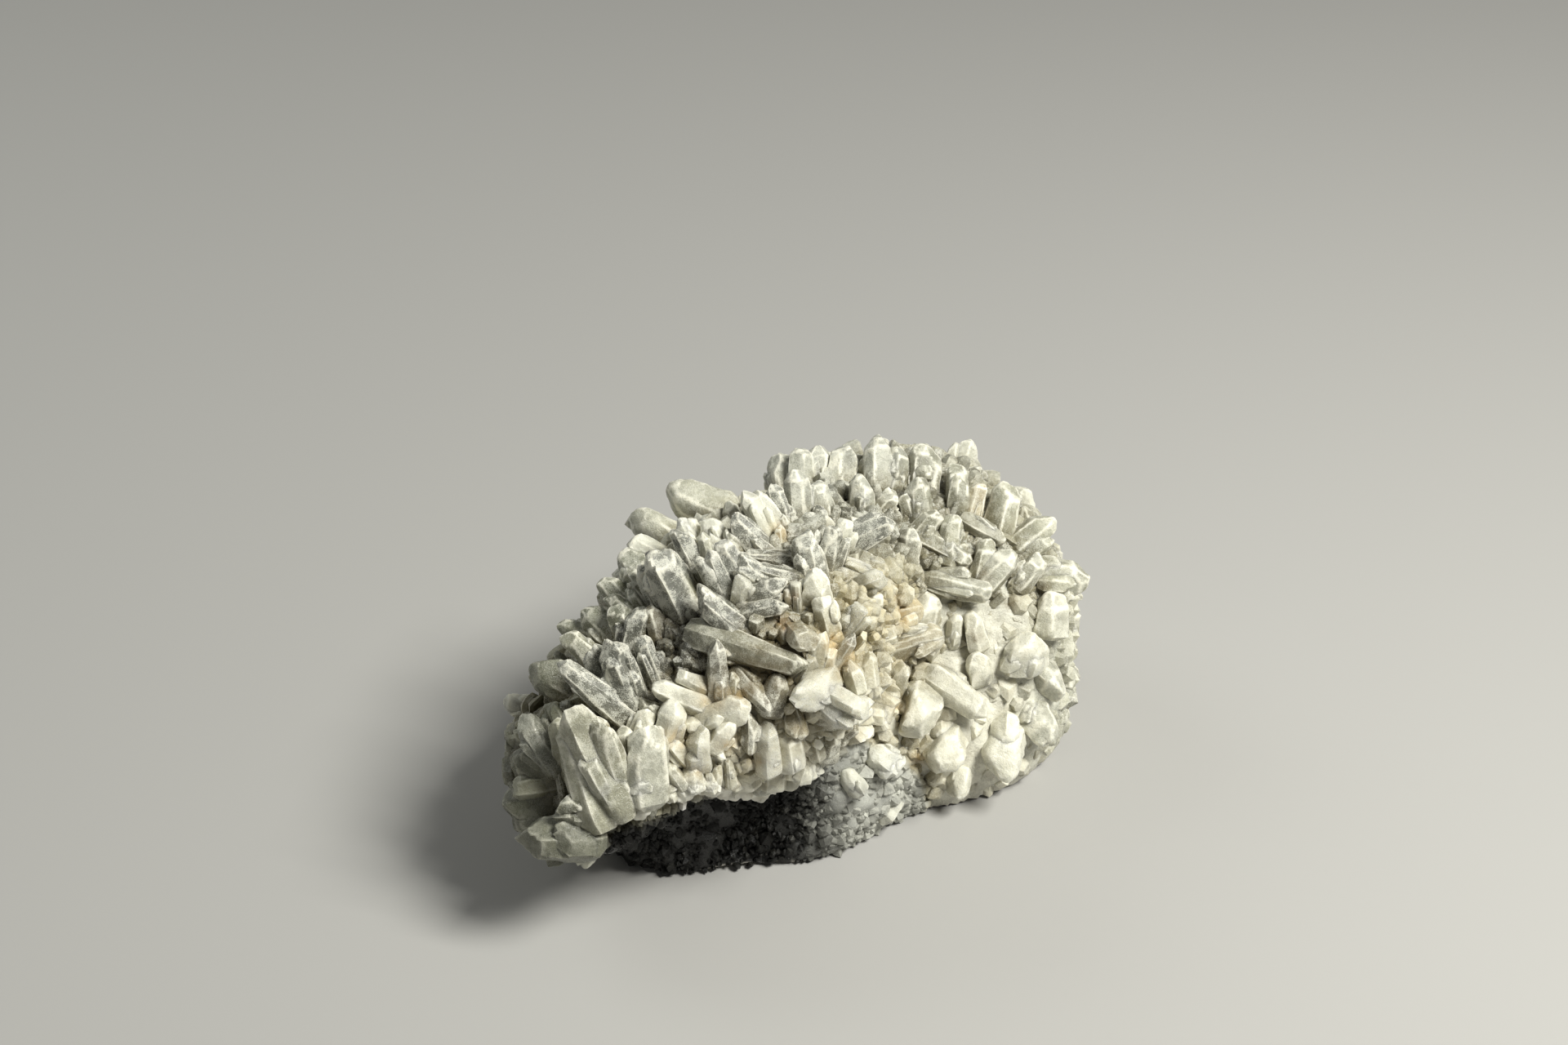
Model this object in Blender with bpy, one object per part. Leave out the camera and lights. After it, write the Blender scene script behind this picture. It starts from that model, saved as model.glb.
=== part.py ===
"""A loose hand specimen of crystallised quartz: a lumpy body of massive quartz with a crust of
grown-together prismatic crystals, hollowed under its front edge and broken flat underneath.

The script's unit is the metre and +Z is up. The tables are in millimetres, turned to metres by MM.
The origin is on the flat underside, below the middle of the specimen. +X runs along its length.
"""

import math
import random

import bmesh
import bpy
import numpy as np
from mathutils import Matrix, Vector

NAME = "quartz_cluster"
MM = 0.001

# The body: ellipsoids that melt into one another, each with its centre and half sizes in mm,
# its turn about +Z and its pitch in degrees (a positive pitch lowers its +X end).
LUMPS = (
    ("crown", (-5, 5, 37), (28, 20, 18), 10, 0),
    ("left_end", (-31, 0, 27), (18.5, 14.5, 13.5), 0, -8),
    ("left_toe", (-42, -7, 23), (10.5, 9, 9), 0, 0),
    ("left_heel", (-40, 9, 20), (11, 9.5, 9.5), 0, 0),
    ("front_lip", (-22, -8.5, 33), (24.5, 13, 9.5), -22, -12),
    ("front_brow", (-8, -12, 43), (12, 12, 11), -10, 0),
    ("right_foot", (31, -2, 7), (25, 22, 22), 0, 0),
    ("right_flank", (40, -2, 21), (17, 15, 17), 0, 0),
    ("right_shoulder", (34, 8, 30), (24, 16, 15), -6, 4),
    ("back_ridge", (30, 21, 36), (23, 11, 11.5), -4, 0),
    ("druse_wall", (-8, 0, 10), (30, 21.5, 24), -10, 0),
    ("back", (4, 14, 22), (44, 16, 21), 0, 0),
)
BLEND = 4.0
# The hollow under the front lip, carved with a soft edge.
UNDERCUT = ("undercut", (-25, -25, 9), (25, 13, 16), -28, 0)
CARVE_RISE = 1.2
CARVE_SOFTNESS = 1.8
# The point inside the body from which every part of its surface can be seen.
HEART = np.array([0.0, 3.0, 33.0])
REACH = 82.0
BODY_SUBDIVISIONS = 4

# The drawing sheet: it stands at the origin, square to the line of sight of an eye that looks
# down on the front left corner. Sheet places are millimetres across and up from the origin.
SIGHT_AZIMUTH = -35.0
SIGHT_ELEVATION = 32.4
EYE_DISTANCE = 526.0
EYE_ACROSS = -1.97
EYE_UP = 49.0

# The crystals that face the eye: root across, root up, tip across, tip up, width (mm), and the
# lean towards the eye (degrees).
LEFT_END = (
    (-36.5, -9.0, -50.6, -9.3, 9.0, 14),
    (-37.0, -4.5, -44.5, -5.5, 6.0, 20),
    (-45.5, -3.0, -54.6, -3.2, 7.0, -8),
    (-45.5, 0.5, -52.5, 0.4, 4.5, -10),
    (-45.0, -5.0, -52.4, -7.3, 4.5, -4),
    (-45.0, 2.5, -52.6, 6.2, 4.6, -12),
    (-44.0, 4.0, -51.2, 13.0, 4.8, -2),
    (-46.0, 6.0, -52.4, 10.2, 3.6, -14),
    (-42.0, 9.0, -45.4, 15.2, 4.2, -16),
    (-38.0, -10.5, -39.2, -15.2, 5.0, 0),
    (-43.0, -10.5, -45.5, -14.6, 4.6, 6),
)
FRONT_PRISMS = (
    (-32.0, -4.2, -41.0, 14.4, 6.6, 16),
    (-36.2, -5.5, -42.2, 11.5, 5.6, 10),
    (-41.5, 3.0, -43.6, 12.6, 4.2, 12),
    (-34.5, -5.0, -38.5, 1.2, 4.4, 20),
    (-33.5, 4.0, -37.0, 12.6, 3.6, 8),
    (-27.2, -3.0, -27.8, 11.2, 7.0, 22),
    (-31.0, 2.0, -31.8, 11.0, 3.6, 14),
    (-24.0, 8.5, -22.2, 15.9, 5.6, 26),
    (-29.5, 8.5, -27.0, 14.4, 4.0, 20),
    (-21.5, 6.5, -24.0, 9.6, 4.0, 34),
    (-22.0, 0.8, -24.2, 4.4, 3.8, 20),
    (-24.8, 13.2, -28.9, 15.4, 3.2, 18),
)
LEFT_SHOULDER = (
    (-31.0, 13.6, -43.2, 23.0, 4.2, 16),
    (-30.2, 16.2, -34.2, 27.4, 6.2, 18),
    (-33.6, 17.5, -36.8, 26.6, 3.6, 6),
    (-25.8, 20.0, -28.6, 27.8, 3.6, 12),
    (-30.2, 25.6, -28.6, 33.2, 5.4, 10),
    (-37.0, 23.4, -42.8, 28.4, 4.6, 4),
    (-42.2, 18.4, -49.2, 22.4, 6.8, 2),
    (-36.0, 27.5, -44.0, 29.6, 3.6, -14),
    (-33.5, 28.0, -39.6, 33.0, 5.6, -14),
    (-31.0, 27.5, -33.4, 33.6, 5.0, 4),
    (-29.5, 32.5, -36.0, 38.6, 4.6, -12),
    (-28.0, 32.5, -31.0, 36.8, 4.4, -4),
    (-27.0, 34.5, -31.2, 40.6, 3.4, -12),
    (-25.0, 28.5, -26.8, 33.6, 4.2, 6),
)
WHITE_BAND = (
    (-17.2, 15.0, -26.4, 18.9, 4.0, 18),
    (-16.0, 18.0, -21.8, 20.8, 3.4, 24),
    (-15.8, 12.0, -8.5, 15.2, 4.6, 22),
    (-13.5, 11.0, -20.4, 11.6, 3.2, 18),
    (-14.0, 9.0, -12.0, 12.4, 4.2, 30),
    (-17.8, 5.5, -17.4, 10.6, 4.6, 38),
    (-9.2, 1.2, -9.8, 6.2, 4.4, 28),
    (-4.2, -0.4, -4.0, 4.6, 4.6, 28),
    (0.6, 1.8, 1.0, 6.6, 5.0, 30),
    (-1.0, 5.0, -2.0, 11.4, 4.8, 30),
    (-5.2, 4.4, -5.6, 11.8, 5.4, 34),
    (-19.2, -1.2, -19.4, 2.4, 4.2, 18),
    (-8.2, 9.0, -8.4, 14.0, 4.0, 26),
)
BLADES = (
    (-15.2, 27.6, 1.6, 22.4, 4.4, 16),
    (-14.0, 25.0, -3.0, 22.6, 3.0, 6),
    (-14.0, 16.0, -14.5, 27.1, 3.6, 18),
    (-9.8, 19.6, -4.2, 14.2, 4.0, 22),
    (-4.4, 15.6, -2.6, 20.6, 4.6, 10),
    (-6.0, 27.6, 1.8, 27.4, 4.6, 50),
    (4.2, 24.4, 5.0, 28.6, 3.3, 30),
    (5.8, 21.6, 7.2, 25.4, 3.0, 30),
    (2.0, 21.4, 3.4, 24.4, 3.4, 30),
    (7.4, 22.6, 11.0, 27.9, 2.6, 24),
)
EDGE_CLUSTER = (
    (4.6, 19.0, 1.8, 15.8, 7.2, 58),
    (5.0, 18.2, 13.0, 14.2, 5.8, 26),
    (4.2, 6.6, 2.6, 13.4, 3.8, 16),
    (5.6, 6.0, 7.0, 12.8, 4.8, 26),
    (6.0, 12.6, 10.6, 12.4, 4.2, 20),
)
CROWN = (
    (-20.6, 33.4, -25.8, 43.8, 7.4, 20),
    (-24.0, 33.6, -28.6, 41.2, 4.4, 2),
    (-27.0, 37.0, -31.6, 44.0, 6.0, -14),
    (-23.0, 46.6, -31.0, 51.6, 6.2, -10),
    (-13.4, 50.4, -24.4, 55.6, 8.4, -6),
    (-11.0, 49.6, -13.6, 54.6, 3.4, -14),
    (-18.8, 44.6, -21.6, 49.6, 5.0, -4),
    (-14.0, 44.8, -16.6, 49.6, 4.6, -2),
    (-18.4, 40.4, -22.2, 47.6, 4.6, 6),
    (-12.2, 34.8, -16.2, 44.2, 4.0, 16),
    (-9.0, 37.6, -14.0, 45.2, 4.2, 18),
    (-11.0, 40.6, -12.0, 45.9, 3.3, 12),
    (-9.8, 43.6, -13.0, 47.6, 3.2, 4),
    (-5.8, 38.0, -10.6, 42.6, 4.2, 20),
    (-10.0, 34.4, -9.4, 38.6, 4.0, 42),
    (-7.6, 35.2, -1.6, 37.4, 4.6, 26),
    (-7.6, 32.4, -1.0, 33.6, 4.2, 24),
    (-10.4, 29.2, -17.6, 35.6, 5.0, 20),
    (-5.0, 46.4, -9.6, 54.9, 3.8, -2),
    (-3.2, 47.8, -7.2, 55.0, 3.0, -6),
    (-1.8, 49.0, -4.0, 56.2, 3.6, -4),
    (-6.0, 43.8, -11.6, 49.6, 3.6, 6),
    (3.0, 39.8, 1.4, 47.0, 6.2, 18),
    (-2.0, 41.8, -9.4, 42.8, 3.0, 10),
    (-1.0, 38.4, -7.6, 40.4, 3.6, 12),
)
SADDLE = (
    (6.0, 40.8, 7.4, 48.2, 3.8, 12),
    (8.4, 43.6, 9.6, 49.6, 3.2, 14),
    (12.0, 45.6, 10.6, 50.0, 3.0, 12),
    (9.6, 45.0, 18.4, 49.2, 4.0, 10),
    (12.0, 37.0, 16.4, 38.8, 5.0, 46),
    (12.0, 38.6, 6.8, 39.8, 4.6, 30),
    (14.2, 41.6, 10.8, 43.9, 3.4, 18),
    (4.0, 35.2, 4.0, 39.8, 5.2, 40),
    (6.2, 30.8, 4.8, 35.2, 4.2, 28),
    (10.0, 29.8, 12.6, 33.6, 4.0, 24),
    (11.2, 19.6, 10.0, 23.6, 4.2, 10),
)
RIDGE = (
    (-1.0, 55.0, -3.0, 61.8, 6.8, -4),
    (1.4, 54.6, 1.0, 62.9, 5.0, -8),
    (4.6, 56.4, 4.3, 63.4, 4.4, -8),
    (9.0, 56.6, 9.2, 63.3, 5.0, -8),
    (16.0, 56.6, 15.6, 65.3, 6.2, -8),
    (18.0, 56.6, 19.6, 62.9, 4.4, -8),
    (24.0, 55.8, 24.8, 63.4, 6.6, -8),
    (30.0, 52.6, 30.2, 59.9, 4.8, -8),
    (33.0, 50.6, 34.6, 56.4, 3.6, -8),
    (38.0, 48.6, 40.0, 56.2, 6.2, -6),
    (42.0, 45.0, 47.8, 49.8, 6.6, -6),
    (46.0, 38.6, 54.9, 38.4, 6.6, -4),
    (42.0, 38.2, 46.0, 42.6, 4.8, 6),
    (0.8, 50.0, 0.0, 58.9, 5.2, 8),
    (5.0, 50.6, 4.0, 56.6, 4.6, 8),
    (12.0, 51.0, 12.2, 58.0, 5.4, 6),
    (16.0, 51.2, 18.6, 54.4, 3.4, 8),
    (23.0, 50.2, 22.6, 57.6, 5.6, 6),
    (23.0, 46.6, 26.4, 51.2, 4.6, 10),
    (36.0, 38.2, 41.0, 43.2, 5.2, 6),
    (26.5, 38.0, 36.6, 36.0, 4.2, 14),
    (24.0, 46.2, 32.6, 41.2, 3.8, 12),
    (33.0, 48.8, 39.0, 45.4, 3.4, 8),
    (34.6, 40.0, 35.8, 46.0, 4.4, 6),
    (28.5, 43.0, 29.6, 50.6, 4.6, 4),
    (20.8, 43.2, 21.4, 48.0, 4.2, 8),
)
RIGHT_LOBE = (
    (24.6, 27.2, 15.4, 24.6, 4.6, 18),
    (21.0, 32.2, 16.4, 31.4, 3.8, 24),
    (23.0, 15.2, 22.6, 11.4, 8.0, 60),
    (28.0, 7.4, 27.4, 4.0, 8.4, 60),
    (26.0, 19.6, 35.6, 13.2, 4.8, 12),
    (13.6, 21.0, 13.2, 24.8, 4.0, 20),
    (23.6, 31.0, 24.8, 36.0, 6.6, 24),
    (34.0, 27.6, 32.6, 32.4, 4.6, 20),
    (42.0, 23.6, 42.4, 28.6, 7.6, 30),
    (47.0, 30.0, 47.6, 36.4, 7.0, 8),
    (38.6, 7.6, 38.0, 3.0, 8.6, 46),
    (44.6, 12.6, 46.6, 8.0, 7.6, 34),
    (46.4, 20.0, 49.8, 17.0, 7.0, 14),
    (34.2, 21.0, 33.6, 25.0, 5.0, 34),
    (19.0, 19.0, 20.6, 22.6, 4.4, 26),
    (17.0, 4.6, 13.6, 7.0, 5.2, 28),
    (30.6, 1.0, 29.8, -2.2, 5.6, 20),
)
SHEET_GROUPS = (
    LEFT_END, FRONT_PRISMS, LEFT_SHOULDER, WHITE_BAND, BLADES, EDGE_CLUSTER, CROWN, SADDLE,
    RIDGE, RIGHT_LOBE,
)

# Every crystal: its roots go this far (mm) into the body, and its section is a little flattened.
ROOT_DEPTH = 2.5
FLATNESS = 0.8
TIP_SHARE = 0.5

# The crystals on the sides that the eye can't see stand on a spiral of rays out of the heart.
HIDDEN_RAYS = 520
HIDDEN_SPACING = 7.8
HIDDEN_LOWEST = 6.0
HIDDEN_WIDTHS = (3.4, 6.2)
HIDDEN_LENGTHS = (4.0, 7.5)
HIDDEN_LEAN = 0.35
HIDDEN_FACING = -0.30
HIDDEN_DROOP = -0.35
HIDDEN_SEED = 11

# The floor cutter, which leaves the flat underside.
CUTTER_HALF_WIDTH = 0.12
CUTTER_HEIGHT = 0.06

# The specimen is slid by this much (mm) so that its box is centred over the origin.
SLIDE = (-0.9, -3.0, 0.0)

QUARTZ_COLOUR = (0.60, 0.575, 0.50, 1.0)
QUARTZ_ROUGHNESS = 0.5


def sight_axes():
    """The eye's line of sight, its right and its up, as unit vectors."""
    azimuth = math.radians(SIGHT_AZIMUTH)
    elevation = math.radians(SIGHT_ELEVATION)
    level = np.array([-math.sin(azimuth), math.cos(azimuth), 0.0])
    ahead = level * math.cos(elevation) - np.array([0.0, 0.0, math.sin(elevation)])
    right = np.cross(ahead, [0.0, 0.0, 1.0])
    right /= np.linalg.norm(right)
    return ahead, right, np.cross(right, ahead)


AHEAD, RIGHT, UP = sight_axes()
EYE = EYE_ACROSS * RIGHT + EYE_UP * UP - EYE_DISTANCE * AHEAD


def ellipsoid_distance(points, lump):
    """About how far each point lies outside one turned ellipsoid, in mm."""
    _, centre, sizes, turn, pitch = lump
    offset = points - np.array(centre, float)
    turn = math.radians(turn)
    pitch = math.radians(pitch)
    along = offset[..., 0] * math.cos(turn) + offset[..., 1] * math.sin(turn)
    aside = -offset[..., 0] * math.sin(turn) + offset[..., 1] * math.cos(turn)
    level = along * math.cos(pitch) - offset[..., 2] * math.sin(pitch)
    above = along * math.sin(pitch) + offset[..., 2] * math.cos(pitch)
    own = np.stack([level, aside, above], axis=-1)
    sizes = np.array(sizes, float)
    scaled = np.linalg.norm(own / sizes, axis=-1)
    slope = np.linalg.norm(own / sizes**2, axis=-1)
    return scaled * (scaled - 1.0) / np.maximum(slope, 1e-9)


def body_distance(points):
    """The melted lumps less the undercut: negative inside the body, positive outside."""
    total = 0.0
    for lump in LUMPS:
        total = total + np.exp(np.clip(-ellipsoid_distance(points, lump) / BLEND, -60, 60))
    solid = -BLEND * np.log(total)
    hollow = -ellipsoid_distance(points, UNDERCUT)
    edge = CARVE_RISE * np.exp(-np.abs(solid - hollow) / CARVE_SOFTNESS)
    return np.maximum(solid, hollow) + edge


def body_radius(directions):
    """How far the body reaches from its heart along each unit direction, in mm."""
    steps = np.linspace(2.0, REACH, 160)
    gap = steps[1] - steps[0]
    reach = np.full(len(directions), steps[0])
    before = body_distance(HEART + directions * steps[0])
    for step in steps[1:]:
        now = body_distance(HEART + directions * step)
        leaves = (before < 0) & (now >= 0)
        share = np.where(leaves, before / (before - now - 1e-12), 0.0)
        reach = np.where(leaves, step - gap + share * gap, reach)
        before = now
    return reach


def outward(points):
    """The unit direction straight out of the body's surface at each point."""
    shifts = np.eye(3) * 0.5
    slope = np.stack([body_distance(points + shift) - body_distance(points - shift)
                      for shift in shifts], axis=-1)
    return slope / np.linalg.norm(slope, axis=-1, keepdims=True)


def seen_root(across, up):
    """Where the line of sight through a sheet place meets the body, or comes nearest to it."""
    place = across * RIGHT + up * UP
    line = (place - EYE) / EYE_DISTANCE
    depths = np.linspace(430.0, 620.0, 381)
    points = EYE + depths[:, None] * line
    distances = body_distance(points)
    inside = np.nonzero(distances <= 0)[0]
    index = inside[0] - 1 if len(inside) else int(distances.argmin())
    return points[index], depths[index] / EYE_DISTANCE


def add_crystal(mesh, base, axis, length, width, roll):
    """A six-sided prism from base along axis, ending in a low six-sided pyramid."""
    tip = min(width * TIP_SHARE, length * 0.5)
    prism = length - tip
    turn = Vector(axis).to_track_quat("Z", "Y").to_matrix().to_4x4()
    place = Matrix.Translation(Vector(base) * MM)
    spin = Matrix.Rotation(roll, 4, "Z")
    squeeze = Matrix.Diagonal((1.0, FLATNESS, 1.0, 1.0))
    lift = Matrix.Translation((0.0, 0.0, prism * 0.5 * MM))
    made = bmesh.ops.create_cone(
        mesh, cap_ends=True, segments=6, radius1=width * 0.52 * MM, radius2=width * 0.5 * MM,
        depth=prism * MM, matrix=place @ turn @ squeeze @ spin @ lift,
    )
    axis = Vector(axis)
    faces = {face for corner in made["verts"] for face in corner.link_faces}
    top = max((face for face in faces if len(face.verts) == 6),
              key=lambda face: face.calc_center_median().dot(axis))
    centre = bmesh.ops.poke(mesh, faces=[top])["verts"][0]
    aside = turn @ squeeze @ Vector((math.cos(roll), math.sin(roll), 0.0))
    centre.co += axis * (tip * MM) + aside * (width * 0.12 * MM)


def sheet_crystals(mesh, dice):
    """The crystals of the sheet tables, each rooted in the body behind its sheet place.

    It returns the roots, so that the other crystals can keep clear of them.
    """
    roots = []
    for group in SHEET_GROUPS:
        for root_across, root_up, tip_across, tip_up, width, lean in group:
            root, scale = seen_root(root_across, root_up)
            across = (tip_across - root_across) * scale
            up = (tip_up - root_up) * scale
            nearer = math.hypot(across, up) * math.tan(math.radians(lean))
            axis = across * RIGHT + up * UP - nearer * AHEAD
            length = np.linalg.norm(axis)
            axis /= length
            base = root - axis * ROOT_DEPTH
            roll = dice.uniform(0.0, math.tau)
            add_crystal(mesh, base, axis, length + ROOT_DEPTH, width * scale, roll)
            roots.append(root)
    return roots


def spiral_rays(count):
    """Unit directions spread evenly over the sphere, each a golden angle on from the last."""
    number = np.arange(count)
    height = 1.0 - 2.0 * (number + 0.5) / count
    level = np.sqrt(1.0 - height * height)
    turn = number * math.pi * (3.0 - math.sqrt(5.0))
    return np.stack([level * np.cos(turn), level * np.sin(turn), height], axis=-1)


def hidden_crystals(mesh, dice, taken):
    """The crystals of the back, the top and the ends, which the eye can't see.

    Taken holds the roots that a new crystal keeps clear of.
    """
    rays = spiral_rays(HIDDEN_RAYS)
    roots = HEART + rays * body_radius(rays)[:, None]
    normals = outward(roots)
    sights = roots - EYE
    sights /= np.linalg.norm(sights, axis=1, keepdims=True)
    facing = (normals * sights).sum(axis=1)
    for root, normal, away in zip(roots, normals, facing):
        width = dice.uniform(*HIDDEN_WIDTHS)
        length = dice.uniform(*HIDDEN_LENGTHS)
        lean = np.array([dice.gauss(0.0, HIDDEN_LEAN) for _ in range(3)])
        roll = dice.uniform(0.0, math.tau)
        low = root[2] < HIDDEN_LOWEST or normal[2] < HIDDEN_DROOP
        near = np.linalg.norm(np.array(taken) - root, axis=1).min() < HIDDEN_SPACING
        if away < HIDDEN_FACING or low or near:
            continue
        axis = normal + lean
        axis /= np.linalg.norm(axis)
        base = root - axis * ROOT_DEPTH
        add_crystal(mesh, base, axis, length + ROOT_DEPTH, width, roll)
        taken.append(root)


def new_object(name, mesh, collection):
    """An object with the bmesh's faces, in a collection."""
    data = bpy.data.meshes.new(name)
    mesh.to_mesh(data)
    mesh.free()
    made = bpy.data.objects.new(name, data)
    collection.objects.link(made)
    return made


def make_body(collection):
    """The massive quartz: an icosphere whose corners are carried out to the body's surface."""
    mesh = bmesh.new()
    bmesh.ops.create_icosphere(mesh, subdivisions=BODY_SUBDIVISIONS, radius=1.0)
    directions = np.array([corner.co.normalized() for corner in mesh.verts])
    places = HEART + directions * body_radius(directions)[:, None]
    for corner, place in zip(mesh.verts, places):
        corner.co = place * MM
    return new_object(NAME, mesh, collection)


def make_crystals(collection):
    """All crystals in one mesh, which the body's first Boolean joins on."""
    dice = random.Random(HIDDEN_SEED)
    mesh = bmesh.new()
    taken = sheet_crystals(mesh, dice)
    hidden_crystals(mesh, dice, taken)
    return new_object("crystals", mesh, collection)


def make_floor_cutter(collection):
    """A block that takes away everything below z = 0."""
    mesh = bmesh.new()
    size = (2 * CUTTER_HALF_WIDTH, 2 * CUTTER_HALF_WIDTH, CUTTER_HEIGHT)
    place = Matrix.Translation((0.0, 0.0, -CUTTER_HEIGHT / 2)) @ Matrix.Diagonal((*size, 1.0))
    bmesh.ops.create_cube(mesh, size=1.0, matrix=place)
    return new_object("floor_cutter", mesh, collection)


def add_boolean(body, other, operation):
    """An exact Boolean on the body, with the other object kept as a hidden guide."""
    step = body.modifiers.new(other.name, "BOOLEAN")
    step.operation = operation
    step.solver = "EXACT"
    step.use_self = operation == "UNION"
    step.object = other
    other.parent = body
    other.display_type = "WIRE"
    other.hide_render = True


def quartz_material():
    """Milky, slightly cream quartz."""
    material = bpy.data.materials.new("quartz")
    material.use_nodes = True
    shader = material.node_tree.nodes["Principled BSDF"]
    shader.inputs["Base Color"].default_value = QUARTZ_COLOUR
    shader.inputs["Roughness"].default_value = QUARTZ_ROUGHNESS
    shader.inputs["Metallic"].default_value = 0.0
    return material


def main():
    for old in list(bpy.data.objects):
        bpy.data.objects.remove(old, do_unlink=True)
    parts = bpy.data.collections.new(NAME)
    cutters = bpy.data.collections.new("cutters")
    bpy.context.scene.collection.children.link(parts)
    bpy.context.scene.collection.children.link(cutters)
    body = make_body(parts)
    body.data.materials.append(quartz_material())
    add_boolean(body, make_crystals(cutters), "UNION")
    add_boolean(body, make_floor_cutter(cutters), "DIFFERENCE")
    body.location = [distance * MM for distance in SLIDE]


main()
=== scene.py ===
"""A loose hand specimen of crystallised quartz on a pale studio floor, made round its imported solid.

It is a lumpy body of massive quartz with a crust of grown-together crystals, hollowed under its
front edge and broken flat underneath. The specimen is made in millimetres, which turn to metres
with each mesh. The floor, eye and lamps are placed in metres.
"""

import math
import random

import bpy
import numpy as np
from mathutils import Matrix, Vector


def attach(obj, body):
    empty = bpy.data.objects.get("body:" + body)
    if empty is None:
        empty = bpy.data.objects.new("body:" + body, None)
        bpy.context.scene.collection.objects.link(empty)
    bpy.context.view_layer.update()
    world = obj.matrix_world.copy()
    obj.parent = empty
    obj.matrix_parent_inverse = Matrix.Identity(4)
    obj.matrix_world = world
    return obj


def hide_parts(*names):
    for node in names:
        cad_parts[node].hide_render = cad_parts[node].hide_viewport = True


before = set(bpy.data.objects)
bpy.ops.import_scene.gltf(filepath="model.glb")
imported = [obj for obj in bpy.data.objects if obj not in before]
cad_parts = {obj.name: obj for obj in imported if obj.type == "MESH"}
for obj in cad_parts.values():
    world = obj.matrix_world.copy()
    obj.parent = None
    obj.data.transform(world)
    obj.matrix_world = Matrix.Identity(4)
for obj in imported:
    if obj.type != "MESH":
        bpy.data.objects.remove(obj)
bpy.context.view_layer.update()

# ---- Eye, floor and lamps ----
# The specimen stands loose on a plain pale floor under one wide soft lamp, with a weaker one at its
# side and an even sky. The eye looks down on its front left corner from half a metre away.
MM = 0.001
EYE_PLACE = (-0.24219, -0.34416, 0.32322)
EYE_TURN = (57.6, 0.0, -35.0)
EYE_LENS = 65.0
FLOOR_COLOUR = (0.40, 0.395, 0.38, 1.0)
SKY_COLOUR = (0.90, 0.90, 0.88, 1.0)
SKY_STRENGTH = 0.16
LAMP_TARGET = (0.0, 0.0, 0.03)
FLOOR_HALF = 4.0
FLOOR_LEVEL = -0.0002

camera = bpy.data.objects.new("eye", bpy.data.cameras.new("eye"))
camera.data.lens = EYE_LENS
camera.data.sensor_width = 36.0
camera.data.clip_start = 0.01
camera.location = EYE_PLACE
camera.rotation_euler = [math.radians(angle) for angle in EYE_TURN]
bpy.context.scene.collection.objects.link(camera)
bpy.context.scene.camera = camera
bpy.context.scene.view_settings.view_transform = "Standard"


def add_lamp(name, place, width, power, colour):
    """A square soft lamp at place that faces the specimen."""
    lamp = bpy.data.lights.new(name, "AREA")
    lamp.size = width
    lamp.energy = power
    lamp.color = colour
    made = bpy.data.objects.new(name, lamp)
    made.location = place
    way = Vector(LAMP_TARGET) - Vector(place)
    made.rotation_euler = way.to_track_quat("-Z", "Y").to_euler()
    bpy.context.scene.collection.objects.link(made)


add_lamp("wide_lamp", (0.20, -0.40, 0.60), width=0.26, power=8.15, colour=(1.0, 0.99, 0.93))
add_lamp("back_lamp", (-0.25, 0.55, 0.50), width=0.40, power=1.2, colour=(0.97, 1.0, 0.96))

sky = bpy.data.worlds.new("sky")
sky.use_nodes = True
sky.node_tree.nodes["Background"].inputs["Color"].default_value = SKY_COLOUR
sky.node_tree.nodes["Background"].inputs["Strength"].default_value = SKY_STRENGTH
bpy.context.scene.world = sky

floor_mesh = bpy.data.meshes.new("floor")
floor_mesh.from_pydata([(side * FLOOR_HALF, end * FLOOR_HALF, FLOOR_LEVEL)
                        for side, end in ((-1, -1), (1, -1), (1, 1), (-1, 1))], [],
                       [(0, 1, 2, 3)])
floor = bpy.data.objects.new("floor", floor_mesh)
bpy.context.scene.collection.objects.link(floor)
floor_paint = bpy.data.materials.new("floor_paint")
floor_paint.use_nodes = True
floor_shader = floor_paint.node_tree.nodes["Principled BSDF"]
floor_shader.inputs["Base Color"].default_value = FLOOR_COLOUR
floor_shader.inputs["Roughness"].default_value = 0.8
floor_mesh.materials.append(floor_paint)


# ---- Massive quartz ----
# The body that everything has grown on: grey and cream quartz in interlocking grains, lumpy where
# the crystals root, flat underneath where the specimen broke off its vein. It is one piece of rock.
LUMPS = (
    ((-5, 5, 37), (28, 20, 18), 10, 0),
    ((-31, 0, 27), (18.5, 14.5, 13.5), 0, -8),
    ((-42, -7, 23), (10.5, 9, 9), 0, 0),
    ((-40, 9, 20), (11, 9.5, 9.5), 0, 0),
    ((-22, -8.5, 33), (24.5, 13, 9.5), -22, -12),
    ((-8, -12, 43), (12, 12, 11), -10, 0),
    ((31, -2, 7), (25, 22, 22), 0, 0),
    ((40, -2, 21), (17, 15, 17), 0, 0),
    ((34, 8, 30), (24, 16, 15), -6, 4),
    ((30, 21, 36), (23, 11, 11.5), -4, 0),
    ((-8, 0, 10), (30, 21.5, 24), -10, 0),
    ((4, 14, 22), (44, 16, 21), 0, 0),
)
BLEND = 4.0
UNDERCUT = ((-25, -25, 9), (25, 13, 16), -28, 0)
CARVE_RISE = 1.2
CARVE_SOFTNESS = 1.8
HEART = np.array([0.0, 3.0, 33.0])
REACH = 82.0
HALVINGS = 14
SLIDE = np.array([-0.9, -3.0, 0.0])
SIGHT_AZIMUTH = math.radians(-35.0)
SIGHT_ELEVATION = math.radians(32.4)
EYE_DISTANCE = 526.0
EYE_ACROSS = -1.97
EYE_UP = 49.0
SIGHT_DEPTHS = np.linspace(430.0, 620.0, 381)
BODY_COLUMNS = 460
BODY_ROWS = 190
GRAINS = 1500
GRAIN_RISE = 1.1
GRAIN_TOP = 0.9
NEIGHBOURS = 5
BATCH = 8000
SUNK = 0.9
BODY_CREASE = 32.0


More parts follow.
